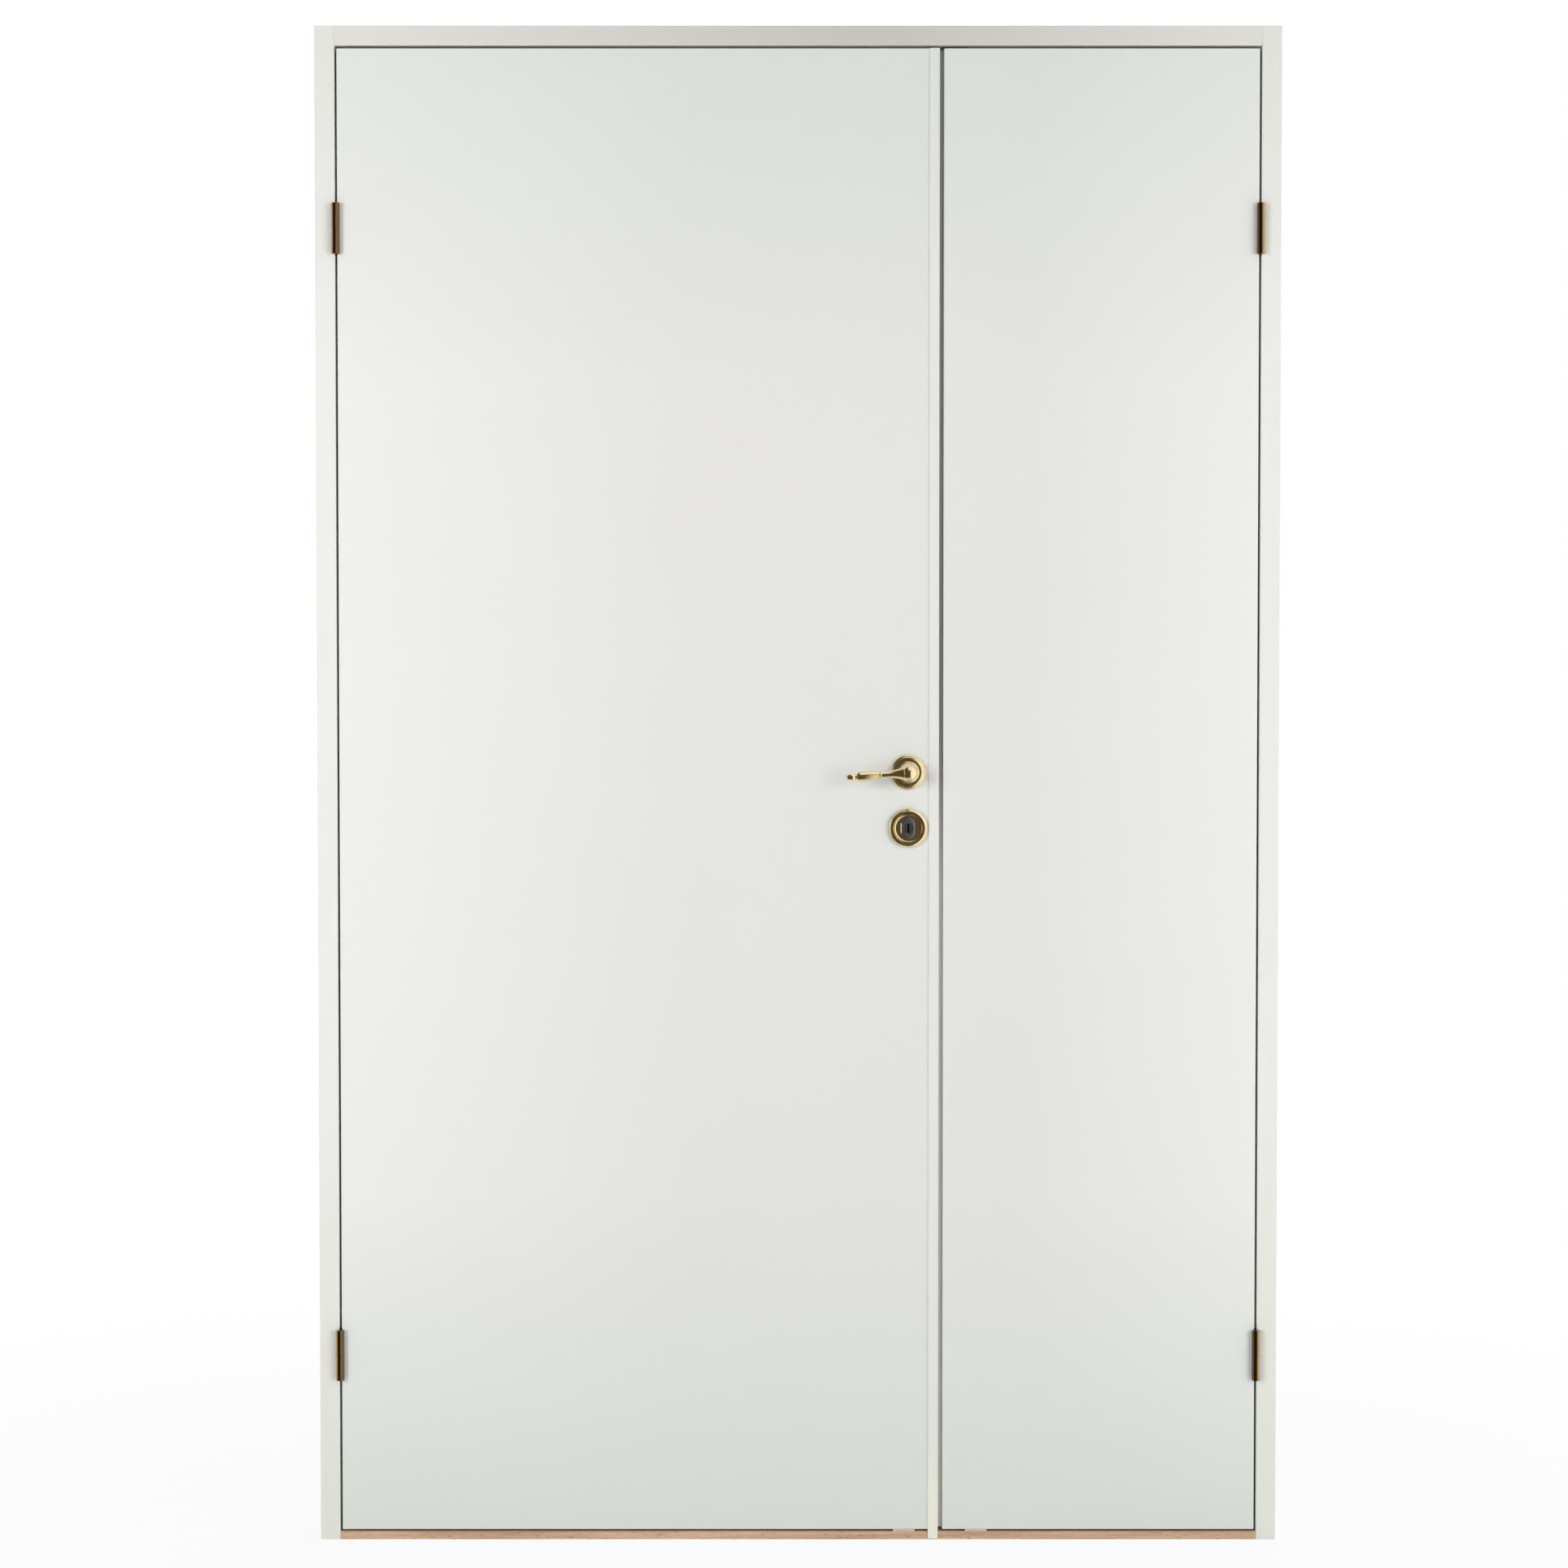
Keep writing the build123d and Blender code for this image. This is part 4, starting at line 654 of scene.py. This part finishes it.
def attach(piece, replaced):
    """Gives a piece the finish and body of the first node that it stands for, and hides all of them."""
    node = replaced[0]
    bpy.context.scene.collection.objects.link(piece)
    piece.data.materials.clear()
    piece.data.materials.append(finish_for(node))
    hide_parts(*replaced)
    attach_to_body(piece, body_of_node[node])
    print(piece.name, len(piece.data.polygons), "faces")
    return piece


print("a grid of 3 by 4 that is closed both ways has", len(grid_quads(3, 4, True, 0)), "quads")

# %% [markdown]
# ## Smooth copies of the flat-shaded solids
# A solid comes as loose triangles, so light breaks at every facet of a rounded edge. The solid itself
# is left alone. A copy of it is merged, shaded smooth with sharp edges kept where faces meet steeply,
# and its normals are weighted by area, so that large flat faces stay flat next to a small rounding.

# %% Copy and smooth
steps_per_metre = 1e7
copy_angle = np.radians(50)


def merged(node):
    """Points and triangles of a node, where corners that agree to a tenth of a micron are one point."""
    source = frame["nodes"][node].data
    corners = np.empty(len(source.vertices) * 3, np.float32)
    source.vertices.foreach_get("co", corners)
    triangles = np.empty(len(source.loops), np.int32)
    source.loops.foreach_get("vertex_index", triangles)
    grid = np.round(corners.reshape(-1, 3).astype(float) * steps_per_metre).astype(np.int64)
    _, first, number = np.unique(grid, axis=0, return_index=True, return_inverse=True)
    points = corners.reshape(-1, 3)[first]
    faces = number.reshape(-1)[triangles].reshape(-1, 3)
    whole = (faces[:, 0] != faces[:, 1]) & (faces[:, 1] != faces[:, 2]) & (faces[:, 2] != faces[:, 0])
    return points, faces[whole]


def smooth_copy(node):
    """A merged copy of a node, smooth except where its faces meet at more than copy_angle."""
    points, faces = merged(node)
    mesh = bpy.data.meshes.new(f"{node}_smooth")
    mesh.from_pydata(points.tolist(), [], faces.tolist())
    mesh.shade_smooth()
    mesh.set_sharp_from_angle(angle=copy_angle)
    piece = attach(bpy.data.objects.new(f"{node}_smooth", mesh), [node])
    weigh = piece.modifiers.new("even_normals", "WEIGHTED_NORMAL")
    weigh.keep_sharp = True


shaped_anew = [
    "front_rose_cover", "back_rose_cover", "front_lever", "back_lever", "cylinder_ring",
    "cylinder_housing", "cylinder_plug", "thumbturn", "left_seal", "right_seal", "head_seal",
    "meeting_seal",
]
cross_screws = [node for node in frame["nodes"] if node.endswith("_screws") and node != "grub_screws"]
for node in frame["nodes"]:
    if node not in shaped_anew + cross_screws:
        smooth_copy(node)

# %% [markdown]
# ## The latch spring
# As the handle draws the latch back, its spring gets shorter. Here the spring's smooth copy is only
# given a mesh of its own.

# %% Give the spring its own mesh
spring = bpy.data.objects["latch_spring_smooth"]
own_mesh(spring)

# %% [markdown]
# ## Turning on a lathe
# Roses, levers and knobs are turned. A turned form is a profile of radius against height, carried
# once round an axis. A Screw modifier could carry it, but as an array it can follow any axis at once.
# The profile's corners are never quite sharp on real brass, so a helper rounds each corner of a list
# with its own radius: it steps back from the corner along both sides by radius / tan(half the angle
# between them) and lays an arc between. A second helper draws the turner's commonest moulding, the
# quarter round. It is part of an ellipse: radius = inner + (outer - inner) * cos(t) and height =
# low + (high - low) * sin(t).

# %% Profiles and turning
groove_depth, groove_width = 0.35 * mm, 0.06


def rounded(corners, radii, steps=7):
    """The outline through corners, each one replaced by an arc unless its radius is 0."""
    corners = np.asarray(corners, float)
    path = []
    for place, (corner, radius) in enumerate(zip(corners, radii)):
        if radius == 0:
            path.append(corner[None])
            continue
        before = corners[place - 1] - corner
        after = corners[(place + 1) % len(corners)] - corner
        before /= np.linalg.norm(before)
        after /= np.linalg.norm(after)
        half = np.arccos(np.clip(before @ after, -1, 1)) / 2
        inward = (before + after) / np.linalg.norm(before + after)
        centre = corner + inward * radius / np.sin(half)
        start = corner + before * radius / np.tan(half) - centre
        end = corner + after * radius / np.tan(half) - centre
        share = np.linspace(0, 1, steps)[:, None]
        arc = start * np.sin((1 - share) * (np.pi - 2 * half)) + end * np.sin(share * (np.pi - 2 * half))
        path.append(centre + arc / np.sin(np.pi - 2 * half))
    return np.vstack(path)


def quarter_round(outer, low, inner, high, steps, start=0.0, groove_at=None):
    """A quarter ellipse from (outer, low) to (inner, high), with a fine groove at one value of t."""
    t = np.linspace(start, np.pi / 2, steps)
    radius = inner + (outer - inner) * np.cos(t)
    height = low + (high - low) * np.sin(t)
    if groove_at is not None:
        dip = groove_depth * np.exp(-(((t - groove_at) / groove_width) ** 2))
        radius, height = radius - dip * np.cos(t), height - dip * np.sin(t)
    return np.column_stack([radius, height])


def square_to(axis):
    """Two unit arrows square to an axis and to each other."""
    upright = (0.0, 0.0, 1.0) if abs(axis[2]) < 0.9 else (1.0, 0.0, 0.0)
    across = np.cross(axis, upright)
    across /= np.linalg.norm(across)
    return across, np.cross(axis, across)


def turned(profile, foot, axis, sides=96):
    """Carries (radius, height) pairs round the axis: foot + height * axis + radius * circle."""
    axis = np.asarray(axis, float) / np.linalg.norm(axis)
    across, third = square_to(axis)
    angle = np.linspace(0, 2 * np.pi, sides, endpoint=False)[None, :, None]
    circle = np.cos(angle) * across + np.sin(angle) * third
    radius, height = profile[:, 0, None, None], profile[:, 1, None, None]
    return np.asarray(foot, float) + height * axis + radius * circle


square = rounded([(0, 0), (1, 0), (1, 1), (0, 1)], [0.2, 0.2, 0.2, 0])
print("a square with three round corners is an outline of", len(square), "points")

# %% [markdown]
# ## The roses
# A rose is a pressed and turned brass cap: a flat rim, a quarter round rising to a step, and a collar
# round the lever's shank. One fine groove is turned into the quarter round. A bump could feign it, but
# a real dip also shows at the outline. It is depth * exp(-((t - middle) / width) squared) deep, which
# is close to what a round-nosed tool leaves.

# %% Turn the roses
rose_radius = 24.5 * mm
rose_rim = 1.8 * mm
rose_step = np.array([16.8, 7.0]) * mm
rose_collar = np.array([14.5, 10.4]) * mm
rose_bore = 9.1 * mm
rose_inside = np.array([20.0, 4.5]) * mm
rose_groove = 0.95


def rose_profile():
    """The closed outline of the rose's section."""
    outside = quarter_round(rose_radius, rose_rim, *rose_step, steps=48, groove_at=rose_groove)
    collar = rounded(
        [(rose_step[0], rose_step[1]), (rose_collar[0], rose_step[1]), tuple(rose_collar),
         (rose_bore, rose_collar[1]), (rose_bore, rose_inside[1]), tuple(rose_inside), (rose_inside[0], 0)],
        [0, 0.5 * mm, 1.2 * mm, 0.3 * mm, 0, 0, 0],
    )
    rim = [(rose_radius, 0), (rose_radius, rose_rim / 2)]
    return np.vstack([outside[:-1], collar, rim])


for node, face, outward in (("front_rose_cover", front_face, -1), ("back_rose_cover", back_face, 1)):
    sheet = turned(rose_profile(), (spindle_x, face, handle_z), (0, outward, 0))
    make_piece(node.replace("cover", "brass"), [(sheet, True)], [node])

# %% [markdown]
# ## The lever's boss
# A lever is two turned forms soldered together. The first one is an upright boss with a waist and a
# domed top. Its waist is radius = waist + (edge - waist) * |u| to a power, as u goes from -1 at the
# collar to 1 under the dome, so it is slimmest half way up. A power above 2 keeps it slim for longer.

# %% Turn the boss
boss_collar = 13.0 * mm
boss_waist = 8.5 * mm
boss_top = 12.0 * mm
waist_power = 2.2
shank_start, shank_end, collar_end, dome_start = np.array([0.3, 10.7, 12.7, 43.0]) * mm
shank_radius = 9.0 * mm


def boss_profile():
    """Shank, collar, waist and dome as (radius, height) pairs."""
    shank = rounded(
        [(0, shank_start), (shank_radius, shank_start), (shank_radius, shank_end), (boss_collar, shank_end),
         (boss_collar, collar_end)],
        [0, 0, 0, 0.5 * mm, 0],
    )
    u = np.linspace(-1, 1, 40)
    height = collar_end + (dome_start - collar_end) * (u + 1) / 2
    edge = np.where(u < 0, boss_collar, boss_top)
    waist = np.column_stack([boss_waist + (edge - boss_waist) * np.abs(u) ** waist_power, height])
    dome = quarter_round(boss_top, dome_start, 0, dome_start + boss_top, steps=24)
    return np.vstack([shank, waist, dome[1:]])


print("boss profile of", len(boss_profile()), "points,", round((dome_start + boss_top) / mm, 1), "mm high")

# %% [markdown]
# ## The lever's grip
# The second form leaves the boss's side and droops by four degrees. Each stretch of its profile has its
# own short formula, where a curve pulled by hand would lose the sizes that a turner works to. The neck
# flares towards the boss: radius = neck + (flare - neck) * (1 - s) squared. Then come a bead, a grip
# that swells, a round shoulder, a groove, and an end knob with an elliptical tip. All places are
# distances from the boss's axis.

# %% Turn the grip and make the levers
lever_droop = np.radians(4)
neck_radius, flare_radius = 4.6 * mm, 10.5 * mm
flare_start, flare_end, neck_end = 5.0 * mm, 30.0 * mm, 38.0 * mm
bead_swell, swell_power = 0.9 * mm, 1.1
grip_start, shoulder_start, shoulder_end = 41.0 * mm, 65.0 * mm, 71.5 * mm
grip_thin, grip_thick, shoulder_radius = 5.0 * mm, 7.2 * mm, 5.5 * mm
cut_radius, cut_slope, cut_fillet = 4.0 * mm, 0.1 * mm, 0.4 * mm
knob_start, knob_end, lever_reach = 74.5 * mm, 82.5 * mm, 86.5 * mm
knob_radius, knob_swell = 4.5 * mm, 0.7 * mm


def grip_profile():
    """Radius against distance from the boss's axis, along the grip."""
    along = np.linspace(0, neck_end, 40)
    s = np.clip((along - flare_start) / (flare_end - flare_start), 0, 1)
    neck = neck_radius + (flare_radius - neck_radius) * (1 - s) ** 2
    t = np.linspace(0, np.pi, 16)[1:]
    bead = neck_radius + (grip_thin - neck_radius) * t / np.pi + bead_swell * np.sin(t)
    bead_along = (neck_end + grip_start) / 2 - (grip_start - neck_end) / 2 * np.cos(t)
    u = np.linspace(0, 1, 40)[1:]
    swell = grip_thin + (grip_thick - grip_thin) * np.sin(u * np.pi / 2) ** swell_power
    shoulder = quarter_round(grip_thick, shoulder_start, shoulder_radius, shoulder_end, steps=16)
    groove = rounded(
        [(shoulder_radius, shoulder_end), (cut_radius, shoulder_end + cut_slope),
         (cut_radius, knob_start - cut_slope), (knob_radius, knob_start)],
        [0, cut_fillet, cut_fillet, 0],
    )
    v = np.linspace(0, 1, 20)[1:]
    knob = knob_radius + knob_swell * np.sin(v * np.pi)
    return np.vstack([
        [(0, 0)],
        np.column_stack([neck, along]),
        np.column_stack([bead, bead_along]),
        np.column_stack([swell, grip_start + u * (shoulder_start - grip_start)]),
        shoulder[1:],
        groove[1:],
        np.column_stack([knob, knob_start + v * (knob_end - knob_start)]),
        quarter_round(knob_radius, knob_end, 0, lever_reach, steps=20)[1:],
    ])


for node, face, outward in (("front_lever", front_face, -1), ("back_lever", back_face, 1)):
    foot = np.array([spindle_x, face, handle_z])
    elbow = foot + np.array([0, outward * dome_start, 0])
    boss = turned(boss_profile(), foot, (0, outward, 0))
    grip = turned(grip_profile(), elbow, (-np.cos(lever_droop), 0, -np.sin(lever_droop)), sides=72)
    make_piece(f"{node}_brass", [(boss, False), (grip, False)], [node])

# %% [markdown]
# ## Outlines stacked over a face
# The lock's ring, its cylinder and the turn knob are not round all the way: they go from a circle to a
# long slot. Cutting one form out of another would leave ragged faces along the cut. So each is a stack
# of outlines with the same number of points, and one grid covers it. A slot is a circle whose upper
# half is moved up and whose lower half is moved down. No point lies at angle 0, where the two halves
# part, so the slot's straight sides come out as single long quads.

# %% Outlines and stacks
sides = 96
turn = (np.arange(sides) + 0.5) / sides * 2 * np.pi


def slot_outline(radius, half=0.0):
    """x = radius * cos(turn), z = radius * sin(turn) with half added above and taken away below."""
    return radius * np.cos(turn), radius * np.sin(turn) + half * np.sign(np.sin(turn))


def stacked(layers, foot, outward):
    """Layers of (outline, height) over a leaf's face: x to the right, z up, height off the face."""
    sheet = [np.column_stack([x, np.full(sides, outward * height), z]) for (x, z), height in layers]
    return np.asarray(foot, float) + np.stack(sheet)


print("each outline has", sides, "points")

# %% [markdown]
# ## The cylinder ring
# The roundel round the lock cylinder is a turned dish: a rim, a quarter round up to a narrow crest,
# and a hollow quarter down to a flat floor. The floor goes over from the circle to the cylinder's
# slot, point by point: blend * slot + (1 - blend) * circle.

# %% Turn the ring
ring_radius, ring_rim = 27.0 * mm, 2.5 * mm
ring_crest, ring_height = 22.5 * mm, 9.0 * mm
crest_fall, dish_start, ring_groove = 0.3 * mm, 0.12, 0.55
dish_radius, floor_radius, floor_height = 20.5 * mm, 17.0 * mm, 3.5 * mm
slot_radius, slot_half, slot_chamfer = 8.5 * mm, 6.5 * mm, 0.2 * mm
blends = (0.35, 0.7, 0.97)
outside = quarter_round(ring_radius, ring_rim, ring_crest, ring_height, steps=40, groove_at=ring_groove)
dish = quarter_round(dish_radius, ring_height, floor_radius, floor_height, steps=20, start=dish_start)
outline = np.vstack([[(ring_radius, 0)], outside, [(dish_radius + crest_fall, ring_height)], dish])
layers = [(slot_outline(radius), height) for radius, height in outline]
circle, slot = np.array(slot_outline(floor_radius)), np.array(slot_outline(slot_radius, slot_half))
layers += [(blend * slot + (1 - blend) * circle, floor_height) for blend in blends]
layers += [(slot, floor_height - slot_chamfer), (slot, 0.0)]
lock_foot = np.array([spindle_x, front_face, lock_z])
make_piece("cylinder_ring_brass", [(stacked(layers, lock_foot, -1), True)], ["cylinder_ring"])

# %% [markdown]
# ## The lock cylinder
# The housing is a slot-shaped bar with a softened front edge and a round hole for the plug. It runs
# back into the leaf as far as the lock case. The plug's keyway could be a plain tall slot, but a real
# one's sides wave, to admit only its own keys, and so do these.

# %% Make the housing and the plug
face_height, bar_foot, edge = 5.5 * mm, -12.5 * mm, 1.0 * mm
hole_radius, hole_grows, hole_chamfer = 7.05 * mm, 0.15 * mm, 0.2 * mm
front_edge = quarter_round(slot_radius, face_height - edge, slot_radius - edge, face_height, steps=7)
rows = [(slot_radius, bar_foot), *front_edge]
layers = [(slot_outline(radius, slot_half), height) for radius, height in rows]
layers += [
    (slot_outline(hole_radius + hole_grows), face_height),
    (slot_outline(hole_radius), face_height - hole_chamfer),
    (slot_outline(hole_radius), bar_foot),
]
make_piece("cylinder_housing_bar", [(stacked(layers, lock_foot, -1), True)], ["cylinder_housing"])

plug_radius, plug_height, plug_foot, plug_edge = 7.0 * mm, 6.1 * mm, -12.2 * mm, 0.3 * mm
key_half_width, key_half_height, key_depth = 1.1 * mm, 6.25 * mm, 9.0 * mm
key_lean, key_wave, key_chamfer, mouth_grows = 0.45 * mm, 0.95 * mm, 0.2 * mm, 1.05


def keyway_outline(grow=1.0):
    """Walks once round a tall rectangle, and both its sides lean by lean * sin(z / wave)."""
    a, b = key_half_width * grow, key_half_height * grow
    way = np.cumsum([0, b, 2 * a, 2 * b, 2 * a, b]) / (4 * a + 4 * b) * 2 * np.pi
    x = np.interp(turn, way, [a, a, -a, -a, a, a])
    z = np.interp(turn, way, [0, b, b, -b, -b, 0])
    return x + key_lean * np.sin(z / key_wave), z


nothing = (np.zeros(sides), np.zeros(sides))
layers = [
    (nothing, plug_height - key_depth),
    (keyway_outline(), plug_height - key_depth),
    (keyway_outline(), plug_height - key_chamfer),
    (keyway_outline(mouth_grows), plug_height),
    (slot_outline(plug_radius - plug_edge), plug_height),
    (slot_outline(plug_radius), plug_height - plug_edge),
    (slot_outline(plug_radius), plug_foot),
    (nothing, plug_foot),
]
make_piece("cylinder_plug_face", [(stacked(layers, lock_foot, -1), False)], ["cylinder_plug"])

# %% [markdown]
# ## The turn knob
# The knob on the far side is a slot-shaped grip on a round stem. Its sides are hollowed for finger
# and thumb: radius = grip - hollow * sin(pi * u) squared, from the grip's foot (u = 0) to its shoulder.

# %% Make the turn knob
grip_radius, grip_half, hollow = 5.5 * mm, 10.5 * mm, 0.9 * mm
grip_foot, grip_top, top_edge, foot_edge = 13.0 * mm, 28.0 * mm, 3.0 * mm, 0.8 * mm
waist_low, waist_high = grip_foot + foot_edge, grip_top - top_edge
foot_rows = quarter_round(grip_radius, waist_low, grip_radius - foot_edge, grip_foot, steps=9)[::-1]
u = np.linspace(0, 1, 20)[1:-1]
waist_rows = np.column_stack([
    grip_radius - hollow * np.sin(np.pi * u) ** 2, waist_low + (waist_high - waist_low) * u,
])
top_rows = quarter_round(grip_radius, waist_high, grip_radius - top_edge, grip_top, steps=9)
rows = [(0.0, grip_foot), *foot_rows, *waist_rows, *top_rows, (0.0, grip_top)]
turn_foot = np.array([spindle_x, back_face, lock_z])
grip = stacked([(slot_outline(radius, grip_half), height) for radius, height in rows], turn_foot, 1)
stem_foot, stem_top, stem_radius, seat_radius = 0.3 * mm, 13.4 * mm, 7.0 * mm, 5.0 * mm
stem_profile = rounded(
    [(0, stem_foot), (stem_radius, stem_foot), (stem_radius, grip_foot), (seat_radius, stem_top),
     (0, stem_top)],
    [0, 0.3 * mm, 0.4 * mm, 0, 0],
)
stem = turned(stem_profile, turn_foot, (0, 1, 0), sides=72)
make_piece("thumbturn_brass", [(grip, False), (stem, False)], ["thumbturn"])

# %% [markdown]
# ## Screws
# All screws but the levers' grub screws are countersunk with a cross recess. A group of screws is one
# node, so its separate screws have to be found first: every point starts with its own number, and
# each triangle keeps passing the lowest of its three numbers on until nothing changes. Points with
# the same number then belong to one screw. The axis is the screw's longest side, and the head is its
# wider end. A Boolean could cut the cross out, but sinking the head's own points leaves a clean grid.
# They sink by depth * narrow * near. With a and b for the smaller and larger of |x| and |z|, narrow is
# 1 where a is less than half the cross's width, near is 1 where b is less than its reach, and both
# fall to 0 as 1 / (1 + exp((a - half) / softness)) does. All are shares of the head's radius.

# %% Find the screws and drive them in
end_band = 0.05 * mm
slot_share, arm_share, depth_share = 0.13, 0.60, 0.35
slot_soft, arm_soft = 0.02, 0.03


def islands(node):
    """The points of each separate solid in a node."""
    points, faces = merged(node)
    label, before = np.arange(len(points)), None
    while not np.array_equal(label, before):
        before = label.copy()
        np.minimum.at(label, faces.reshape(-1), np.repeat(before[faces].min(axis=1), 3))
    return [points[label == number] for number in np.unique(label)]


def screw_place(points):
    """Head's middle, axis that points out of the head, radii of head and shank, and length."""
    low, high = points.min(axis=0), points.max(axis=0)
    middle, size = (low + high) / 2, high - low
    long_way = int(np.argmax(size))
    along = points[:, long_way]
    off = np.linalg.norm(np.delete(points - middle, long_way, axis=1), axis=1)
    at_low, at_high = along < low[long_way] + end_band, along > high[long_way] - end_band
    outward = 1.0 if off[at_high].max() > off[at_low].max() else -1.0
    axis = np.zeros(3)
    axis[long_way] = outward
    head = middle + axis * size[long_way] / 2
    widest = off[at_low if outward > 0 else at_high].max()
    shank = off[~at_high & ~at_low].min(initial=widest)
    return head, axis, np.delete(size, long_way).max() / 2, shank, size[long_way]


def screw_sheet(head, axis, head_radius, shank_radius, length, columns=48):
    """Rings of points from the head's middle to the shank's tip, with the recess sunk into the head."""
    across, third = square_to(axis)
    angle = np.arange(columns) / columns * 2 * np.pi
    radius = np.linspace(0, head_radius, 20)[:, None]
    x, z = np.abs(radius * np.cos(angle)), np.abs(radius * np.sin(angle))
    small, large = np.minimum(x, z), np.maximum(x, z)
    narrow = 1 / (1 + np.exp((small / head_radius - slot_share) / slot_soft))
    near = 1 / (1 + np.exp((large / head_radius - arm_share) / arm_soft))
    height = -depth_share * head_radius * narrow * near
    below = [(shank_radius, shank_radius - head_radius), (shank_radius, shank_radius - length), (0, -length)]
    radius = np.vstack([np.broadcast_to(radius, x.shape)] + [np.full(columns, r) for r, _ in below])
    height = np.vstack([height] + [np.full(columns, h) for _, h in below])
    circle = np.cos(angle)[None, :, None] * across + np.sin(angle)[None, :, None] * third
    return head + height[..., None] * axis + radius[..., None] * circle


for node in cross_screws:
    places = [screw_place(points) for points in islands(node)]
    make_piece(f"{node}_cross", [(screw_sheet(*place), False) for place in places], [node])

# %% [markdown]
# ## Seals
# A seal is extruded, so it is one outline drawn along a straight line, closed at both ends with a fan
# of faces from a point inside it. A curve could carry the outline, but four rows of points are enough.
# In the stops it is a flat bulb on a stalk. Between the leaves it is a lip that thins out from its
# root to a round tip.

# %% Draw the seals
def drawn(outline, heart, low, high, across, inward, along):
    """Points low or high on the way + u * across + v * inward, with a closing point at each end."""
    plane = outline[:, :1] * across + outline[:, 1:] * inward
    middle = np.broadcast_to(heart[0] * across + heart[1] * inward, plane.shape)
    return np.stack([middle + low * along, plane + low * along, plane + high * along, middle + high * along])


right_way, deep_way, up_way = np.eye(3)
wide, deep, stalk, root = 3.0 * mm, 3.7 * mm, 1.5 * mm, 8.0 * mm
bulb = rounded(
    [(-wide, 0), (-wide, -deep), (wide, -deep), (wide, 0),
     (stalk, 0), (stalk, root), (-stalk, root), (-stalk, 0)],
    np.array([0.8, 1.8, 1.8, 0.8, 0, 0.4, 0.4, 0]) * mm,
)
bulb_heart = np.array([0.0, -0.5]) * mm
for node, across, along in (
    ("left_seal", right_way, up_way), ("right_seal", right_way, up_way), ("head_seal", up_way, right_way),
):
    low, high = box(node)
    offset = across * ((low + high) / 2 @ across) + deep_way * (low[1] + deep)
    sheet = drawn(bulb, bulb_heart, low @ along, high @ along, across, deep_way, along) + offset
    make_piece(f"{node}_bulb", [(sheet, False)], [node])

low, high = box("meeting_seal")
thick, thin, bend, reach = 1.5 * mm, 0.6 * mm, 5.0 * mm, 10.6 * mm
lip = rounded(
    [(0, -thick), (bend, -thick), (reach, -thin), (reach, thin), (bend, thick), (0, thick)],
    np.array([0.4, 1.0, 0.55, 0.55, 1.0, 0.4]) * mm,
)
lip_heart = np.array([4.0, 0.0]) * mm
offset = np.array([low[0], (low[1] + high[1]) / 2, 0])
sheet = drawn(lip, lip_heart, low[2], high[2], right_way, deep_way, up_way) + offset
make_piece("meeting_seal_lip", [(sheet, False)], ["meeting_seal"])
